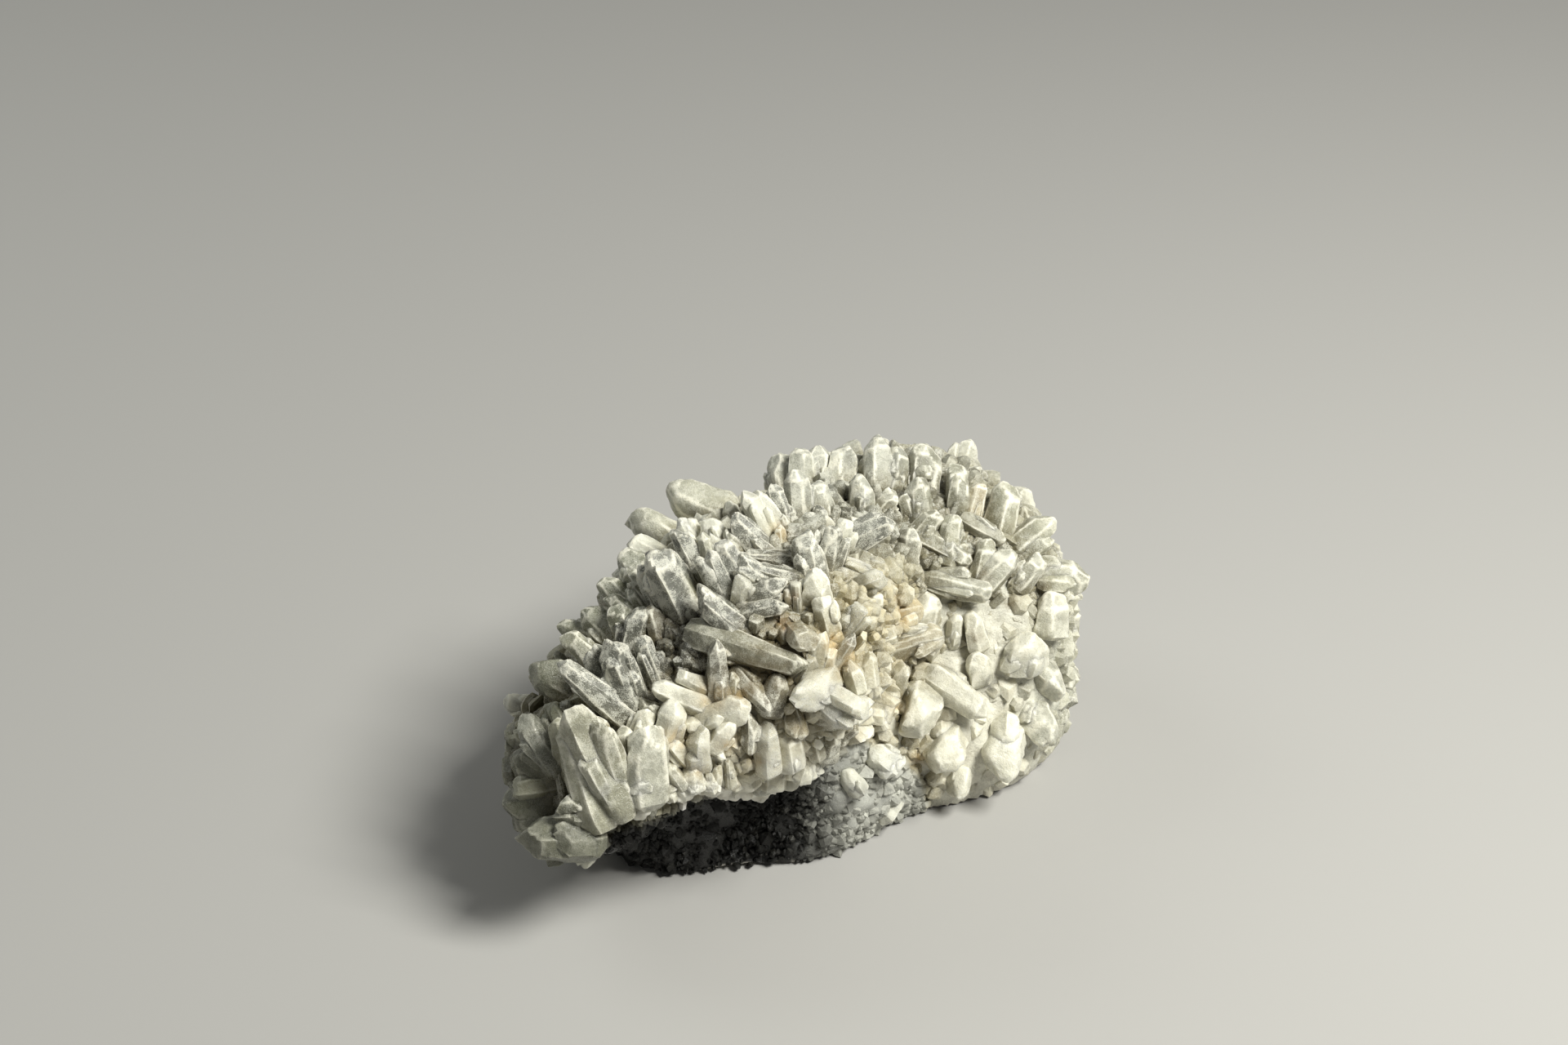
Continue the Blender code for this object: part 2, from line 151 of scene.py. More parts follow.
def ellipsoid_distance(points, lump):
    """About how far each point lies outside an ellipsoid: its scaled radius less 1, over slope."""
    centre, sizes, turn, pitch = lump
    offset = points - np.array(centre, float)
    turn = math.radians(turn)
    pitch = math.radians(pitch)
    along = offset[..., 0] * math.cos(turn) + offset[..., 1] * math.sin(turn)
    aside = -offset[..., 0] * math.sin(turn) + offset[..., 1] * math.cos(turn)
    level = along * math.cos(pitch) - offset[..., 2] * math.sin(pitch)
    above = along * math.sin(pitch) + offset[..., 2] * math.cos(pitch)
    own = np.stack([level, aside, above], axis=-1)
    sizes = np.array(sizes, float)
    scaled = np.linalg.norm(own / sizes, axis=-1)
    slope = np.linalg.norm(own / sizes**2, axis=-1)
    return scaled * (scaled - 1.0) / np.maximum(slope, 1e-9)


def lumps_distance(points):
    """The lumps melted into one by a soft minimum of their distances."""
    total = 0.0
    for lump in LUMPS:
        total = total + np.exp(np.clip(-ellipsoid_distance(points, lump) / BLEND, -60, 60))
    return -BLEND * np.log(total)


def body_distance(points):
    """The melted lumps less the undercut: negative inside the body, positive outside."""
    solid = lumps_distance(points)
    hollow = -ellipsoid_distance(points, UNDERCUT)
    edge = CARVE_RISE * np.exp(-np.abs(solid - hollow) / CARVE_SOFTNESS)
    return np.maximum(solid, hollow) + edge


def body_radius(directions):
    """How far the body reaches from its heart along each ray, found by halving the way."""
    near = np.full(len(directions), 2.0)
    far = np.full(len(directions), REACH)
    for _ in range(HALVINGS):
        middle = 0.5 * (near + far)
        inside = body_distance(HEART + directions * middle[:, None]) < 0
        near = np.where(inside, middle, near)
        far = np.where(inside, far, middle)
    return 0.5 * (near + far)


def unit(vectors):
    """Vectors of length one."""
    return vectors / np.maximum(np.linalg.norm(vectors, axis=-1, keepdims=True), 1e-12)


def outward(points):
    """The unit direction straight out of the body at each point: the slope of its distance."""
    shifts = np.eye(3) * 0.5
    return unit(np.stack([body_distance(points + shift) - body_distance(points - shift)
                          for shift in shifts], axis=-1))


def skin_places(rays):
    """Where rays out of the heart leave the body, and the direction straight out of it there."""
    places = HEART + rays * body_radius(rays)[:, None]
    return places, outward(places)


def unevenness(points, size, seed, waves=12):
    """A smooth field of about -1 to 1 with lumps of a given size: sine waves in random ways."""
    dice = np.random.default_rng(seed)
    headings = unit(dice.normal(size=(waves, 3))) * dice.uniform(0.6, 1.4, (waves, 1))
    phases = dice.uniform(0, math.tau, waves)
    return np.sin(points @ headings.T * (math.pi / size) + phases).sum(axis=-1) / math.sqrt(waves)


def ramp(values, low, high):
    """A smooth step from 0 at low to 1 at high."""
    share = np.clip((values - low) / (high - low), 0.0, 1.0)
    return share * share * (3.0 - 2.0 * share)


def sight_axes():
    """The eye's line of sight, its right and its up, as unit vectors."""
    level = np.array([-math.sin(SIGHT_AZIMUTH), math.cos(SIGHT_AZIMUTH), 0.0])
    ahead = level * math.cos(SIGHT_ELEVATION) - np.array([0, 0, math.sin(SIGHT_ELEVATION)])
    right = unit(np.cross(ahead, [0.0, 0.0, 1.0]))
    return ahead, right, np.cross(right, ahead)


AHEAD, RIGHT, UP = sight_axes()
EYE = EYE_ACROSS * RIGHT + EYE_UP * UP - EYE_DISTANCE * AHEAD


def sheet_place(points):
    """Where each point shows on a sheet at the origin that faces the eye: across and up."""
    way = points - EYE
    scale = EYE_DISTANCE / (way @ AHEAD)
    return EYE_ACROSS + (way @ RIGHT) * scale, EYE_UP + (way @ UP) * scale


def facing_away(points, normals):
    """How far the skin turns from the eye: -1 straight at it, 0 on the skyline, 1 straight away."""
    return (normals * unit(points - EYE)).sum(axis=-1)


def seen_roots(across, up):
    """Where the lines of sight through sheet places meet the body, or come nearest to it."""
    lines = (across[:, None] * RIGHT + up[:, None] * UP - EYE) / EYE_DISTANCE
    distances = body_distance(EYE + SIGHT_DEPTHS[None, :, None] * lines[:, None, :])
    inside = distances <= 0
    hit = np.where(inside.any(axis=1), inside.argmax(axis=1) - 1, distances.argmin(axis=1))
    return EYE + SIGHT_DEPTHS[hit][:, None] * lines, SIGHT_DEPTHS[hit] / EYE_DISTANCE


# Tones of the rock, by where they show on the sheet: across, up, half width, half height, colour.
SMOKY = (0.235, 0.239, 0.205)
OLIVE = (0.095, 0.099, 0.06)
CREAM = (0.66, 0.64, 0.535)
CHALK = (0.80, 0.78, 0.68)
TONES = (
    (-49, -2, 8, 14, OLIVE),
    (-45, 12, 7, 8, (0.20, 0.205, 0.14)),
    (-38, 31, 9, 10, (0.28, 0.29, 0.21)),
    (-33, 4, 9, 11, (0.34, 0.335, 0.255)),
    (-44, -11, 8, 5, (0.075, 0.078, 0.053)),
    (-30, 21, 8, 8, (0.105, 0.108, 0.093)),
    # Painted shade over the deep recess between the left shoulder and the crown.
    (-20, 25, 7, 7, (0.035, 0.037, 0.032)),
    (-10, 5, 14, 7, CHALK),
    (-12, 38, 14, 9, SMOKY),
    (-6, 20, 8, 6, (0.42, 0.37, 0.25)),
    (-22, 50, 10, 8, (0.66, 0.66, 0.57)),
    (6, 56, 20, 8, (0.285, 0.29, 0.25)),
    (8, 15, 6, 6, (0.86, 0.84, 0.72)),
    (13, 31, 8, 9, (0.58, 0.53, 0.37)),
    (10, 46, 8, 6, (0.27, 0.275, 0.24)),
    (34, 44, 14, 9, (0.27, 0.27, 0.215)),
    (36, 15, 16, 17, CREAM),
    (49.5, 15, 6, 13, (0.33, 0.342, 0.28)),
)
BACK_TONE = (0.56, 0.553, 0.46)
# The hollow's dark grey lining, painted near black as the shade under the lip.
HOLLOW_SHADE_TONE = (0.006, 0.0058, 0.0048)
HOLLOW_LIGHT_TONE = (0.46, 0.465, 0.42)
BROKEN_TONE = (0.50, 0.48, 0.42)
LIP_ACROSS = (-40, -33, -24, -17, -5, -1, 3, 7.4, 12, 18, 23.5, 26)
LIP_UP = (-14, -7.5, -3.0, -1.6, -1.9, 0.7, 2.8, 7.9, 8.7, 6.5, 1.8, -12)


def hollow_share(points):
    """1 in the hollow below the crust's front lip and 0 elsewhere."""
    across, up = sheet_place(points)
    below = ramp(np.interp(across, LIP_ACROSS, LIP_UP) - up, -0.3, 0.9) * (across < 26)
    front = ramp(points[..., 1], 14.0, 6.0) * ramp(points[..., 2], 27.0, 22.0)
    carved = ramp(-ellipsoid_distance(points, UNDERCUT) - lumps_distance(points), -1.5, 0.5)
    return np.maximum(below * front, carved * ramp(points[..., 2], 24.0, 19.0))


def lobe_share(points):
    """1 over the smooth cream flank of the right lobe and on round its end, and 0 elsewhere."""
    across, up = sheet_place(points)
    depth = (points - HEART) @ AHEAD
    seen = ramp(across, 23.0, 32.0) * ramp(up, 36.0, 29.0) * ramp(depth, 22.0, 10.0)
    end = ramp(points[..., 0], 34.0, 44.0) * ramp(points[..., 2], 36.0, 24.0)
    end = end * ramp(depth, -4.0, 14.0)
    return np.maximum(seen, 0.8 * end) * (1 - hollow_share(points))


NOTCH = (-48.5, 15.8, 4.0, 3.0, 3.4)


def notch_depth(points):
    """How far the skin is set back in the notch below the left shoulder, a dent with soft sides."""
    across, up = sheet_place(points)
    mid_across, mid_up, wide, high, deep = NOTCH
    side = ramp(np.abs((points - HEART) @ AHEAD), 26.0, 14.0)
    return deep * side * np.exp(-((across - mid_across) / wide) ** 2 - ((up - mid_up) / high) ** 2)


def rock_tone_with_shade(points, normals):
    """The colour of the rock: its tones weighed by nearness on the sheet, plain on the far side, and
    in the hollow painted shade, near black on its left under the lip, fading to its pale right wall.
    """
    across, up = sheet_place(points)
    weight = np.full(across.shape, 0.12)
    colour = weight[..., None] * np.array(BACK_TONE)
    for mid_across, mid_up, wide, high, tone in TONES:
        near = np.exp(-((across - mid_across) / wide) ** 2 - ((up - mid_up) / high) ** 2)
        weight = weight + near
        colour = colour + near[..., None] * np.array(tone)
    colour = colour / weight[..., None]
    back = ramp(facing_away(points, normals), 0.0, 0.5)[..., None]
    lobe = lobe_share(points)[..., None]
    far_side = np.array(BACK_TONE) * (1 - lobe) + np.array(CREAM) * lobe
    colour = colour * (1 - back) + far_side * back
    # Painted shade in the hollow: near black on its left, fading to the pale wall on its right.
    light = ramp(across, -2.0, 16.0)[..., None]
    hollow = np.array(HOLLOW_SHADE_TONE) * (1 - light) + np.array(HOLLOW_LIGHT_TONE) * light
    share = hollow_share(points)[..., None]
    return colour * (1 - share) + hollow * share


# Stains of iron and clay in the crevices, and near-black painted shade over the deep recess and in
# narrow crevices: across, up, radius, colour.
OCHRE = (0.64, 0.47, 0.23)
RUST = (0.30, 0.16, 0.06)
EARTH = (0.20, 0.16, 0.09)
# Near black: painted shade over the deep recess between the left shoulder and the crown, and in
# narrow crevices.
CREVICE_SHADE = (0.05, 0.05, 0.045)
STAINS_AND_SHADE = (
    (-20.5, 25.5, 7.2, CREVICE_SHADE), (-38.5, 15.6, 2.6, CREVICE_SHADE), (-38.6, 16.0, 1.6, (0.40, 0.36, 0.12)),
    (-17.5, 37, 2.0, (0.52, 0.48, 0.24)), (-35.5, 10, 2.2, EARTH), (-32, 7, 1.6, EARTH),
    (-7, 21.5, 5.0, EARTH), (-3, 22.5, 3.0, EARTH), (1, 11.5, 2.4, EARTH),
    (-22, 9.5, 2.0, OCHRE), (-18.6, 3.2, 1.7, OCHRE), (-15.4, 17, 2.4, OCHRE),
    (-12.5, 8.2, 1.6, OCHRE), (-7, 5, 1.4, OCHRE), (-10, 17, 1.6, OCHRE), (8.8, 23.6, 2.6, OCHRE),
    (18.6, 31.3, 2.6, OCHRE), (18, 35.2, 1.7, OCHRE), (7, 27, 2.0, OCHRE),
    (-2.5, 47, 1.6, OCHRE), (23, 5, 1.4, OCHRE), (18.5, 15, 1.4, OCHRE),
    (-2, 30, 1.5, RUST), (-0.5, 35.5, 1.2, RUST), (21, 25.2, 4.0, EARTH), (31, 6.5, 1.6, EARTH),
    (28.5, 13, 1.4, EARTH), (33, 27.5, 2.0, EARTH), (0.6, 22.5, 1.0, CREVICE_SHADE), (11.5, 15, 0.8, CREVICE_SHADE),
    (10.5, 10, 0.9, CREVICE_SHADE), (10.7, 27.4, 1.0, CREVICE_SHADE), (11.5, 36.2, 0.8, CREVICE_SHADE),
    (14.5, 54.3, 1.2, CREVICE_SHADE), (13.5, 51.3, 1.0, CREVICE_SHADE), (18, 48.7, 1.0, CREVICE_SHADE),
    (36.3, 19, 1.5, CREVICE_SHADE), (35, 39, 1.3, EARTH), (40, 34, 1.3, EARTH), (46, 37, 1.3, EARTH),
)
stain_and_shade_table = np.array([row[:3] for row in STAINS_AND_SHADE])
stain_and_shade_places, _ = seen_roots(stain_and_shade_table[:, 0], stain_and_shade_table[:, 1])
STAIN_AND_SHADE_DEPTH = 6.0


def stained_and_shaded(points, colour):
    """The colour with the stains and the painted shade laid over it, each fading away from its place,
    and how far each point may still whiten with sugar and frost: 0 in the hollow and under the stains
    and the painted shade, and less on the dark left end."""
    patchy = 0.75 + 0.35 * unevenness(points, 1.1, 41)
    across, up = sheet_place(points)
    # The dark left end keeps less of its sugar and frost.
    dark_left_end = np.maximum(ramp(across, -40.0, -46.0),
                        ramp(across, -33.0, -37.0) * ramp(up, -4.0, -7.0))
    # Sugar and frost are held back in the hollow and on the dark left end; the hollow's dark left
    # part is painted shade.
    room_to_whiten = (1 - 0.9 * hollow_share(points)) * (1 - 0.75 * dark_left_end)
    for (_, _, radius, tone), place in zip(STAINS_AND_SHADE, stain_and_shade_places):
        offset = points - place
        deep = offset @ AHEAD
        flat = (offset**2).sum(axis=-1) - deep**2
        near = np.exp(-flat / radius**2 - (deep / STAIN_AND_SHADE_DEPTH) ** 2)
        share = np.clip(0.85 * near * patchy, 0.0, 0.9)[..., None]
        colour = colour * (1 - share) + np.array(tone) * share
        room_to_whiten = room_to_whiten * (1 - share[..., 0])
    return colour, room_to_whiten


def crevice_dirt_and_shade(points):
    """How brown and dark the crevices are, brown dirt together with painted shade: most in the
    crust's middle, little over the lobe and behind, none in the hollow."""
    across, up = sheet_place(points)
    middle = np.exp(-((across + 10) / 22) ** 2 - ((up - 26) / 14) ** 2)
    behind = ramp((points - HEART) @ AHEAD, 4.0, 20.0)
    amount = (0.40 + 0.40 * middle) * (1 - 0.6 * behind)
    return amount * (1 - 0.7 * lobe_share(points)) * (1 - hollow_share(points))


def spiral_rays(count):
    """Unit directions spread evenly over the sphere, each a golden angle on from the last."""
    number = np.arange(count)
    height = 1.0 - 2.0 * (number + 0.5) / count
    level = np.sqrt(1.0 - height * height)
    turn = number * math.pi * (3.0 - math.sqrt(5.0))
    return np.stack([level * np.cos(turn), level * np.sin(turn), height], axis=-1)


STRETCH = np.array([1.75, 1.0, 0.95])


def spread_roots(count, seed):
    """Points spread over the body's skin, closer to even than plain rays because they are stretched
    along it first, with the direction straight out of the body at each."""
    dice = np.random.default_rng(seed)
    rays = spiral_rays(count) + dice.normal(0, 0.35 / math.sqrt(count), (count, 3))
    return skin_places(unit(rays * STRETCH))


def grain_relief(points, seed):
    """The relief of interlocking grains: the highest of the nearest grains' blunt, slanted tops.

    Each grain falls away from its middle on six flat flanks and is cut off by one tilted face.
    """
    dice = np.random.default_rng(seed)
    middles, normals = spread_roots(GRAINS, seed)
    heights = dice.uniform(0.2, 1.0, GRAINS) * GRAIN_RISE
    first = unit(np.cross(normals, dice.normal(size=(GRAINS, 3))))
    second = np.cross(normals, first)
    turns = np.arange(6) * math.tau / 6 + dice.normal(0, 0.25, (GRAINS, 6))
    flanks = np.cos(turns)[..., None] * first[:, None] + np.sin(turns)[..., None] * second[:, None]
    flanks = flanks * dice.uniform(0.3, 0.8, (GRAINS, 6, 1))
    tilts = unit(dice.normal(size=(GRAINS, 3))) * dice.uniform(0.0, 0.35, (GRAINS, 1))
    relief = np.empty(len(points))
    for start in range(0, len(points), BATCH):
        some = points[start:start + BATCH]
        apart = (middles**2).sum(axis=1) - 2 * some @ middles.T
        nearest = np.argpartition(apart, NEIGHBOURS, axis=1)[:, :NEIGHBOURS]
        offset = some[:, None] - middles[nearest]
        fall = (offset[:, :, None] * flanks[nearest]).sum(axis=-1).max(axis=-1)
        top = heights[nearest] + (offset * tilts[nearest]).sum(axis=-1)
        flank = heights[nearest] + GRAIN_TOP - fall
        relief[start:start + BATCH] = np.minimum(top, flank).max(axis=1)
    return np.clip(relief, -0.9, 2.2)


def add_piece(name, corners, quads, triangles, colours, fields, materials, choice, crease):
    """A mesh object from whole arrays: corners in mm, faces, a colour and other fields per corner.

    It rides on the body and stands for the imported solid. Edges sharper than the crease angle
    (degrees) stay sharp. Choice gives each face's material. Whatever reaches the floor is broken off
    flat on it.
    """
    mesh = bpy.data.meshes.new(name)
    placed = corners + SLIDE
    placed[:, 2] = np.maximum(placed[:, 2], 0.0)
    mesh.vertices.add(len(corners))
    mesh.vertices.foreach_set("co", (placed * MM).astype(np.float32).ravel())
    mesh.loops.add(quads.size + triangles.size)
    mesh.loops.foreach_set("vertex_index",
                           np.concatenate([quads.ravel(), triangles.ravel()]).astype(np.int32))
    mesh.polygons.add(len(quads) + len(triangles))
    starts = np.concatenate([np.arange(len(quads)) * 4,
                             quads.size + np.arange(len(triangles)) * 3])
    mesh.polygons.foreach_set("loop_start", starts.astype(np.int32))
    mesh.update(calc_edges=True)
    mesh.polygons.foreach_set("use_smooth", np.ones(len(starts), bool))
    tint = mesh.attributes.new("tint", "FLOAT_COLOR", "POINT")
    tint.data.foreach_set("color", np.concatenate(
        [colours, np.ones((len(colours), 1))], axis=1).astype(np.float32).ravel())
    for field, values in fields.items():
        mesh.attributes.new(field, "FLOAT", "POINT").data.foreach_set(
            "value", values.astype(np.float32))
    for material in materials:
        mesh.materials.append(material)
    mesh.polygons.foreach_set("material_index", choice.astype(np.int32))
    mesh.set_sharp_from_angle(angle=math.radians(crease))
    piece = bpy.data.objects.new(name, mesh)
    bpy.context.scene.collection.objects.link(piece)
    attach(piece, "root")
    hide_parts("quartz_cluster")
    return piece


SUGAR_COLOUR = (0.86, 0.855, 0.75, 1.0)
# Whitened edges: frost, and painted light through the thin edges.
FROST_AND_EDGE_LIGHT_COLOUR = (0.88, 0.86, 0.74, 1.0)
DIRT_AND_SHADE_COLOUR = (0.20, 0.165, 0.08, 1.0)
CLOUD_SIZE = 3.0
BLOTCH_SIZE = 0.9
PATCH_SIZE = 2.4
SUGAR_SIZE = 0.19
BUMP_STRENGTH = 0.7
BLOTCH_RISE = 0.35
SUGAR_RISE = 0.14
QUARTZ_IOR = 1.54
SCATTER_RADIUS = (1.0, 0.96, 0.86)
SCATTER_DEPTH = 1.2


def quartz_finish(name, frost_and_edge_light, sugar, roughness, subsurface, transmission):
    """Quartz of the piece's own tint: clouded inside, with whitened edges that are frost and painted
    light through the thin edges, dirt and painted shade low down and a sugary skin of fine facets
    that catch the light.

    Frost and edge light and sugar are how much the edges and the fine grains whiten; the rest are
    the shader's.
    """
    material = bpy.data.materials.new(name)
    material.use_nodes = True
    nodes, links = material.node_tree.nodes, material.node_tree.links
    shader = nodes["Principled BSDF"]
    place = nodes.new("ShaderNodeTexCoord").outputs["Object"]

    def field(attribute):
        node = nodes.new("ShaderNodeAttribute")
        node.attribute_name = attribute
        return node

    def noise(size, detail, rough=0.6):
        node = nodes.new("ShaderNodeTexNoise")
        node.inputs["Scale"].default_value = 1.0 / (size * MM)
        node.inputs["Detail"].default_value = detail
        node.inputs["Roughness"].default_value = rough
        links.new(place, node.inputs["Vector"])
        return node.outputs["Fac"]

    def span(value, low, high, start, end):
        node = nodes.new("ShaderNodeMapRange")
        for key, number in zip(("From Min", "From Max", "To Min", "To Max"),
                               (low, high, start, end)):
            node.inputs[key].default_value = number
        links.new(value, node.inputs["Value"])
        return node.outputs["Result"]

    def combined(operation, first, second):
        node = nodes.new("ShaderNodeMath")
        node.operation = operation
        node.use_clamp = True
        for socket, value in zip(node.inputs, (first, second)):
            if isinstance(value, float):
                socket.default_value = value
            else:
                links.new(value, socket)
        return node.outputs["Value"]

    def blend(kind, share, first, second):
        node = nodes.new("ShaderNodeMix")
        node.data_type = "RGBA"
        node.blend_type = kind
        for socket, value in zip((node.inputs["Factor"], node.inputs["A"], node.inputs["B"]),
                                 (share, first, second)):
            if isinstance(value, (float, tuple)):
                socket.default_value = value
            else:
                links.new(value, socket)
        return node.outputs["Result"]

    def bump(height, rise):
        node = nodes.new("ShaderNodeBump")
        node.inputs["Strength"].default_value = BUMP_STRENGTH
        node.inputs["Distance"].default_value = rise * MM
        links.new(height, node.inputs["Height"])
        return node

    clouds = noise(CLOUD_SIZE, 3.0)
    blotches = noise(BLOTCH_SIZE, 3.0, 0.7)
    grains = noise(SUGAR_SIZE, 2.0, 0.8)
    shade = nodes.new("ShaderNodeCombineColor")
    level = span(clouds, 0.3, 0.7, 0.74, 1.16)
    for socket in shade.inputs:
        links.new(level, socket)
    colour = blend("MULTIPLY", 1.0, field("tint").outputs["Color"], shade.outputs["Color"])
    patches = span(noise(PATCH_SIZE, 2.0, 0.7), 0.32, 0.68, -0.20, 0.17)
    sugared = combined("ADD", grains, patches)
    crusted = combined("MULTIPLY", span(sugared, 0.47, 0.60, 0.0, sugar),
                       field("room_to_whiten").outputs["Fac"])
    colour = blend("MIX", crusted, colour, SUGAR_COLOUR)
    # Edges whiten: frost, together with painted light through the thin edges.
    worn = combined("ADD", field("edge").outputs["Fac"], span(blotches, 0.3, 0.7, -0.22, 0.22))
    worn = combined("MULTIPLY", span(worn, 0.28, 0.72, 0.0, frost_and_edge_light),
                    field("room_to_whiten").outputs["Fac"])
    colour = blend("MIX", worn, colour, FROST_AND_EDGE_LIGHT_COLOUR)
    # Crevices darken: brown dirt together with painted shade.
    dirt_and_shade_share = combined("MULTIPLY", field("dirt_and_shade").outputs["Fac"],
                    span(blotches, 0.35, 0.60, 0.15, 0.85))
    colour = blend("MIX", dirt_and_shade_share, colour, DIRT_AND_SHADE_COLOUR)
    links.new(colour, shader.inputs["Base Color"])
    links.new(span(sugared, 0.40, 0.62, roughness - 0.10, roughness + 0.26),
              shader.inputs["Roughness"])
    for key, value in (("IOR", QUARTZ_IOR), ("Subsurface Weight", subsurface),
                       ("Subsurface Radius", SCATTER_RADIUS),
                       ("Subsurface Scale", SCATTER_DEPTH * MM),
                       ("Transmission Weight", transmission)):
        shader.inputs[key].default_value = value
    coarse = bump(blotches, BLOTCH_RISE)
    sugary = bump(sugared, SUGAR_RISE)
    links.new(coarse.outputs["Normal"], sugary.inputs["Normal"])
    links.new(sugary.outputs["Normal"], shader.inputs["Normal"])
    return material


milky_quartz = quartz_finish("milky_quartz", frost_and_edge_light=0.75, sugar=0.34, roughness=0.30,
                             subsurface=0.45, transmission=0.0)
smoky_quartz = quartz_finish("smoky_quartz", frost_and_edge_light=0.85, sugar=0.66, roughness=0.24,
                             subsurface=0.20, transmission=0.12)
rock_quartz = quartz_finish("rock_quartz", frost_and_edge_light=0.75, sugar=0.34, roughness=0.30,
                            subsurface=0.0, transmission=0.0)
clear_quartz = quartz_finish("clear_quartz", frost_and_edge_light=0.80, sugar=0.55, roughness=0.16,
                             subsurface=0.50, transmission=0.30)
# A crystal's own colour, and which of the three finishes it has: milky, smoky or clear.
MILKY, SMOKED, CLEAR = 0, 1, 2
FINISHES = {
    "olive": ((0.17, 0.175, 0.115), MILKY), "cream": ((0.315, 0.309, 0.227), MILKY),
    "white": ((0.68, 0.675, 0.575), MILKY), "milky": ((0.41, 0.41, 0.345), MILKY),
    "brown": ((0.24, 0.205, 0.125), MILKY), "ochre": ((0.60, 0.51, 0.33), MILKY),
    "clay": ((0.055, 0.058, 0.035), MILKY), "ivory": ((0.61, 0.60, 0.495), MILKY),
    "smoke": ((0.15, 0.153, 0.133), SMOKED), "clear": ((0.93, 0.91, 0.77), CLEAR),
}


def body_skin():
    """The body's skin over longitude and latitude round its heart, stretched along the body.

    It is carried out to the melted lumps and then by the relief of its grains, and stops at the
    floor, where the broken underside is a little uneven.
    """
    turn = np.arange(BODY_COLUMNS) * math.tau / BODY_COLUMNS
    tilt = (np.arange(BODY_ROWS) + 0.5) / BODY_ROWS * math.pi
    rays = np.stack(np.broadcast_arrays(np.sin(tilt)[:, None] * np.cos(turn),
                                        np.sin(tilt)[:, None] * np.sin(turn),
                                        np.cos(tilt)[:, None]), axis=-1).reshape(-1, 3)
    rays = np.concatenate([rays, [[0, 0, 1.0], [0, 0, -1.0]]])
    rays = unit(rays * STRETCH)
    corners, normals = skin_places(rays)
    lobe = lobe_share(corners)
    relief = grain_relief(corners, 5)
    amount = relief * (1 - 0.35 * lobe) + 0.35 * unevenness(corners, 4.0, 8)
    amount = amount - SUNK * (1 - hollow_share(corners)) * (1 - lobe)
    amount = amount * ramp(corners[:, 2], -1.0, 3.0) - notch_depth(corners)
    corners = corners + normals * amount[:, None]
    below = corners[:, 2] < 0
    floor_hit = HEART + rays * (HEART[2] / np.maximum(-rays[:, 2], 1e-6))[:, None]
    corners = np.where(below[:, None] & (rays[:, 2] < 0)[:, None], floor_hit, corners)
    under = np.clip(0.25 + 0.4 * unevenness(corners, 3.5, 9), 0.0, 0.8)
    corners[:, 2] = np.where(below, under, np.maximum(corners[:, 2], 0.0))
    return corners, normals, relief, below


def wrapped_faces(rows, columns):
    """The quads between the rows of a grid that closes on itself, and the triangles from its first
    and last rows to the two poles that follow its corners."""
    grid = np.arange(rows * columns).reshape(rows, columns)
    beside = np.roll(grid, -1, axis=1)
    quads = np.stack([grid[:-1], grid[1:], beside[1:], beside[:-1]], axis=-1).reshape(-1, 4)
    return quads, np.concatenate([
        np.stack([grid[0], beside[0], np.full(columns, grid.size)], axis=-1),
        np.stack([beside[-1], grid[-1], np.full(columns, grid.size + 1)], axis=-1),
    ])


body_corners, body_normals, body_relief, body_below = body_skin()
body_quads, body_caps = wrapped_faces(BODY_ROWS, BODY_COLUMNS)
body_colour, body_room_to_whiten = stained_and_shaded(body_corners, rock_tone_with_shade(body_corners, body_normals))
body_shaded = hollow_share(body_corners) * ramp(sheet_place(body_corners)[0], 16.0, -2.0)
body_room_to_whiten = body_room_to_whiten * (1 - 0.9 * body_shaded)
body_colour = np.where(body_below[:, None], np.array(BROKEN_TONE), body_colour)
# Low places between the grains: brown dirt together with painted shade.
body_dirt_and_shade = ramp(body_relief, 0.4, -0.6) * crevice_dirt_and_shade(body_corners)
body_edge = ramp(body_relief, 0.9, 1.8) * 0.5 * (1 - hollow_share(body_corners))
add_piece("massive_quartz", body_corners, body_quads, body_caps, body_colour,
          {"edge": body_edge, "dirt_and_shade": body_dirt_and_shade, "room_to_whiten": body_room_to_whiten}, [rock_quartz],
          np.zeros(len(body_quads) + len(body_caps)), BODY_CREASE)


# ---- Front left end ----
# Stout olive-grey quartz crystals that lie out over the specimen's left toe, dull, the darkest of
# them near black. They grew outward from the body, and their feet are fused to it.
# Rows: root across, root up, tip across, tip up, width, lean to the eye (degrees), finish, end.
LEFT_END = (
    (-36.5, -9, -50.6, -9.3, 9, 14, "clay", "blunt"),
    (-37, -4.5, -44.5, -5.5, 6, 20, "clay", "point"),
    (-45.5, -3, -54.6, -3.2, 7, -8, "clay", "round"),
    (-45.5, 0.5, -52.5, 0.4, 4.5, -10, "cream", "round"),
    (-45, -5, -52.4, -7.3, 4.5, -4, "clay", "round"),
    (-45, 2.5, -52, 6.2, 4.6, -12, "clay", "blunt"),
    (-44, 4, -51.2, 13, 4.8, -2, "smoke", "point"),
    (-46, 6, -52.4, 10.2, 3.6, -14, "cream", "round"),
    (-42, 9, -45.4, 15.2, 4.2, -16, "olive", "blunt"),
    (-38, -10.5, -39.2, -15.2, 5, 0, "white", "round"),
    (-43, -10.5, -45.5, -14.6, 4.6, 6, "clay", "blunt"),
    (-42.2, -4, -43.7, 4.2, 2, 14, "smoke", "point"),
    (-40.5, 12.5, -43.2, 15.6, 2.6, 6, "smoke", "blunt"),
)
ROOT_DEPTH = 2.5
MOST_CARRIED = 3.0
TIP_SLANT = math.radians(51.8)
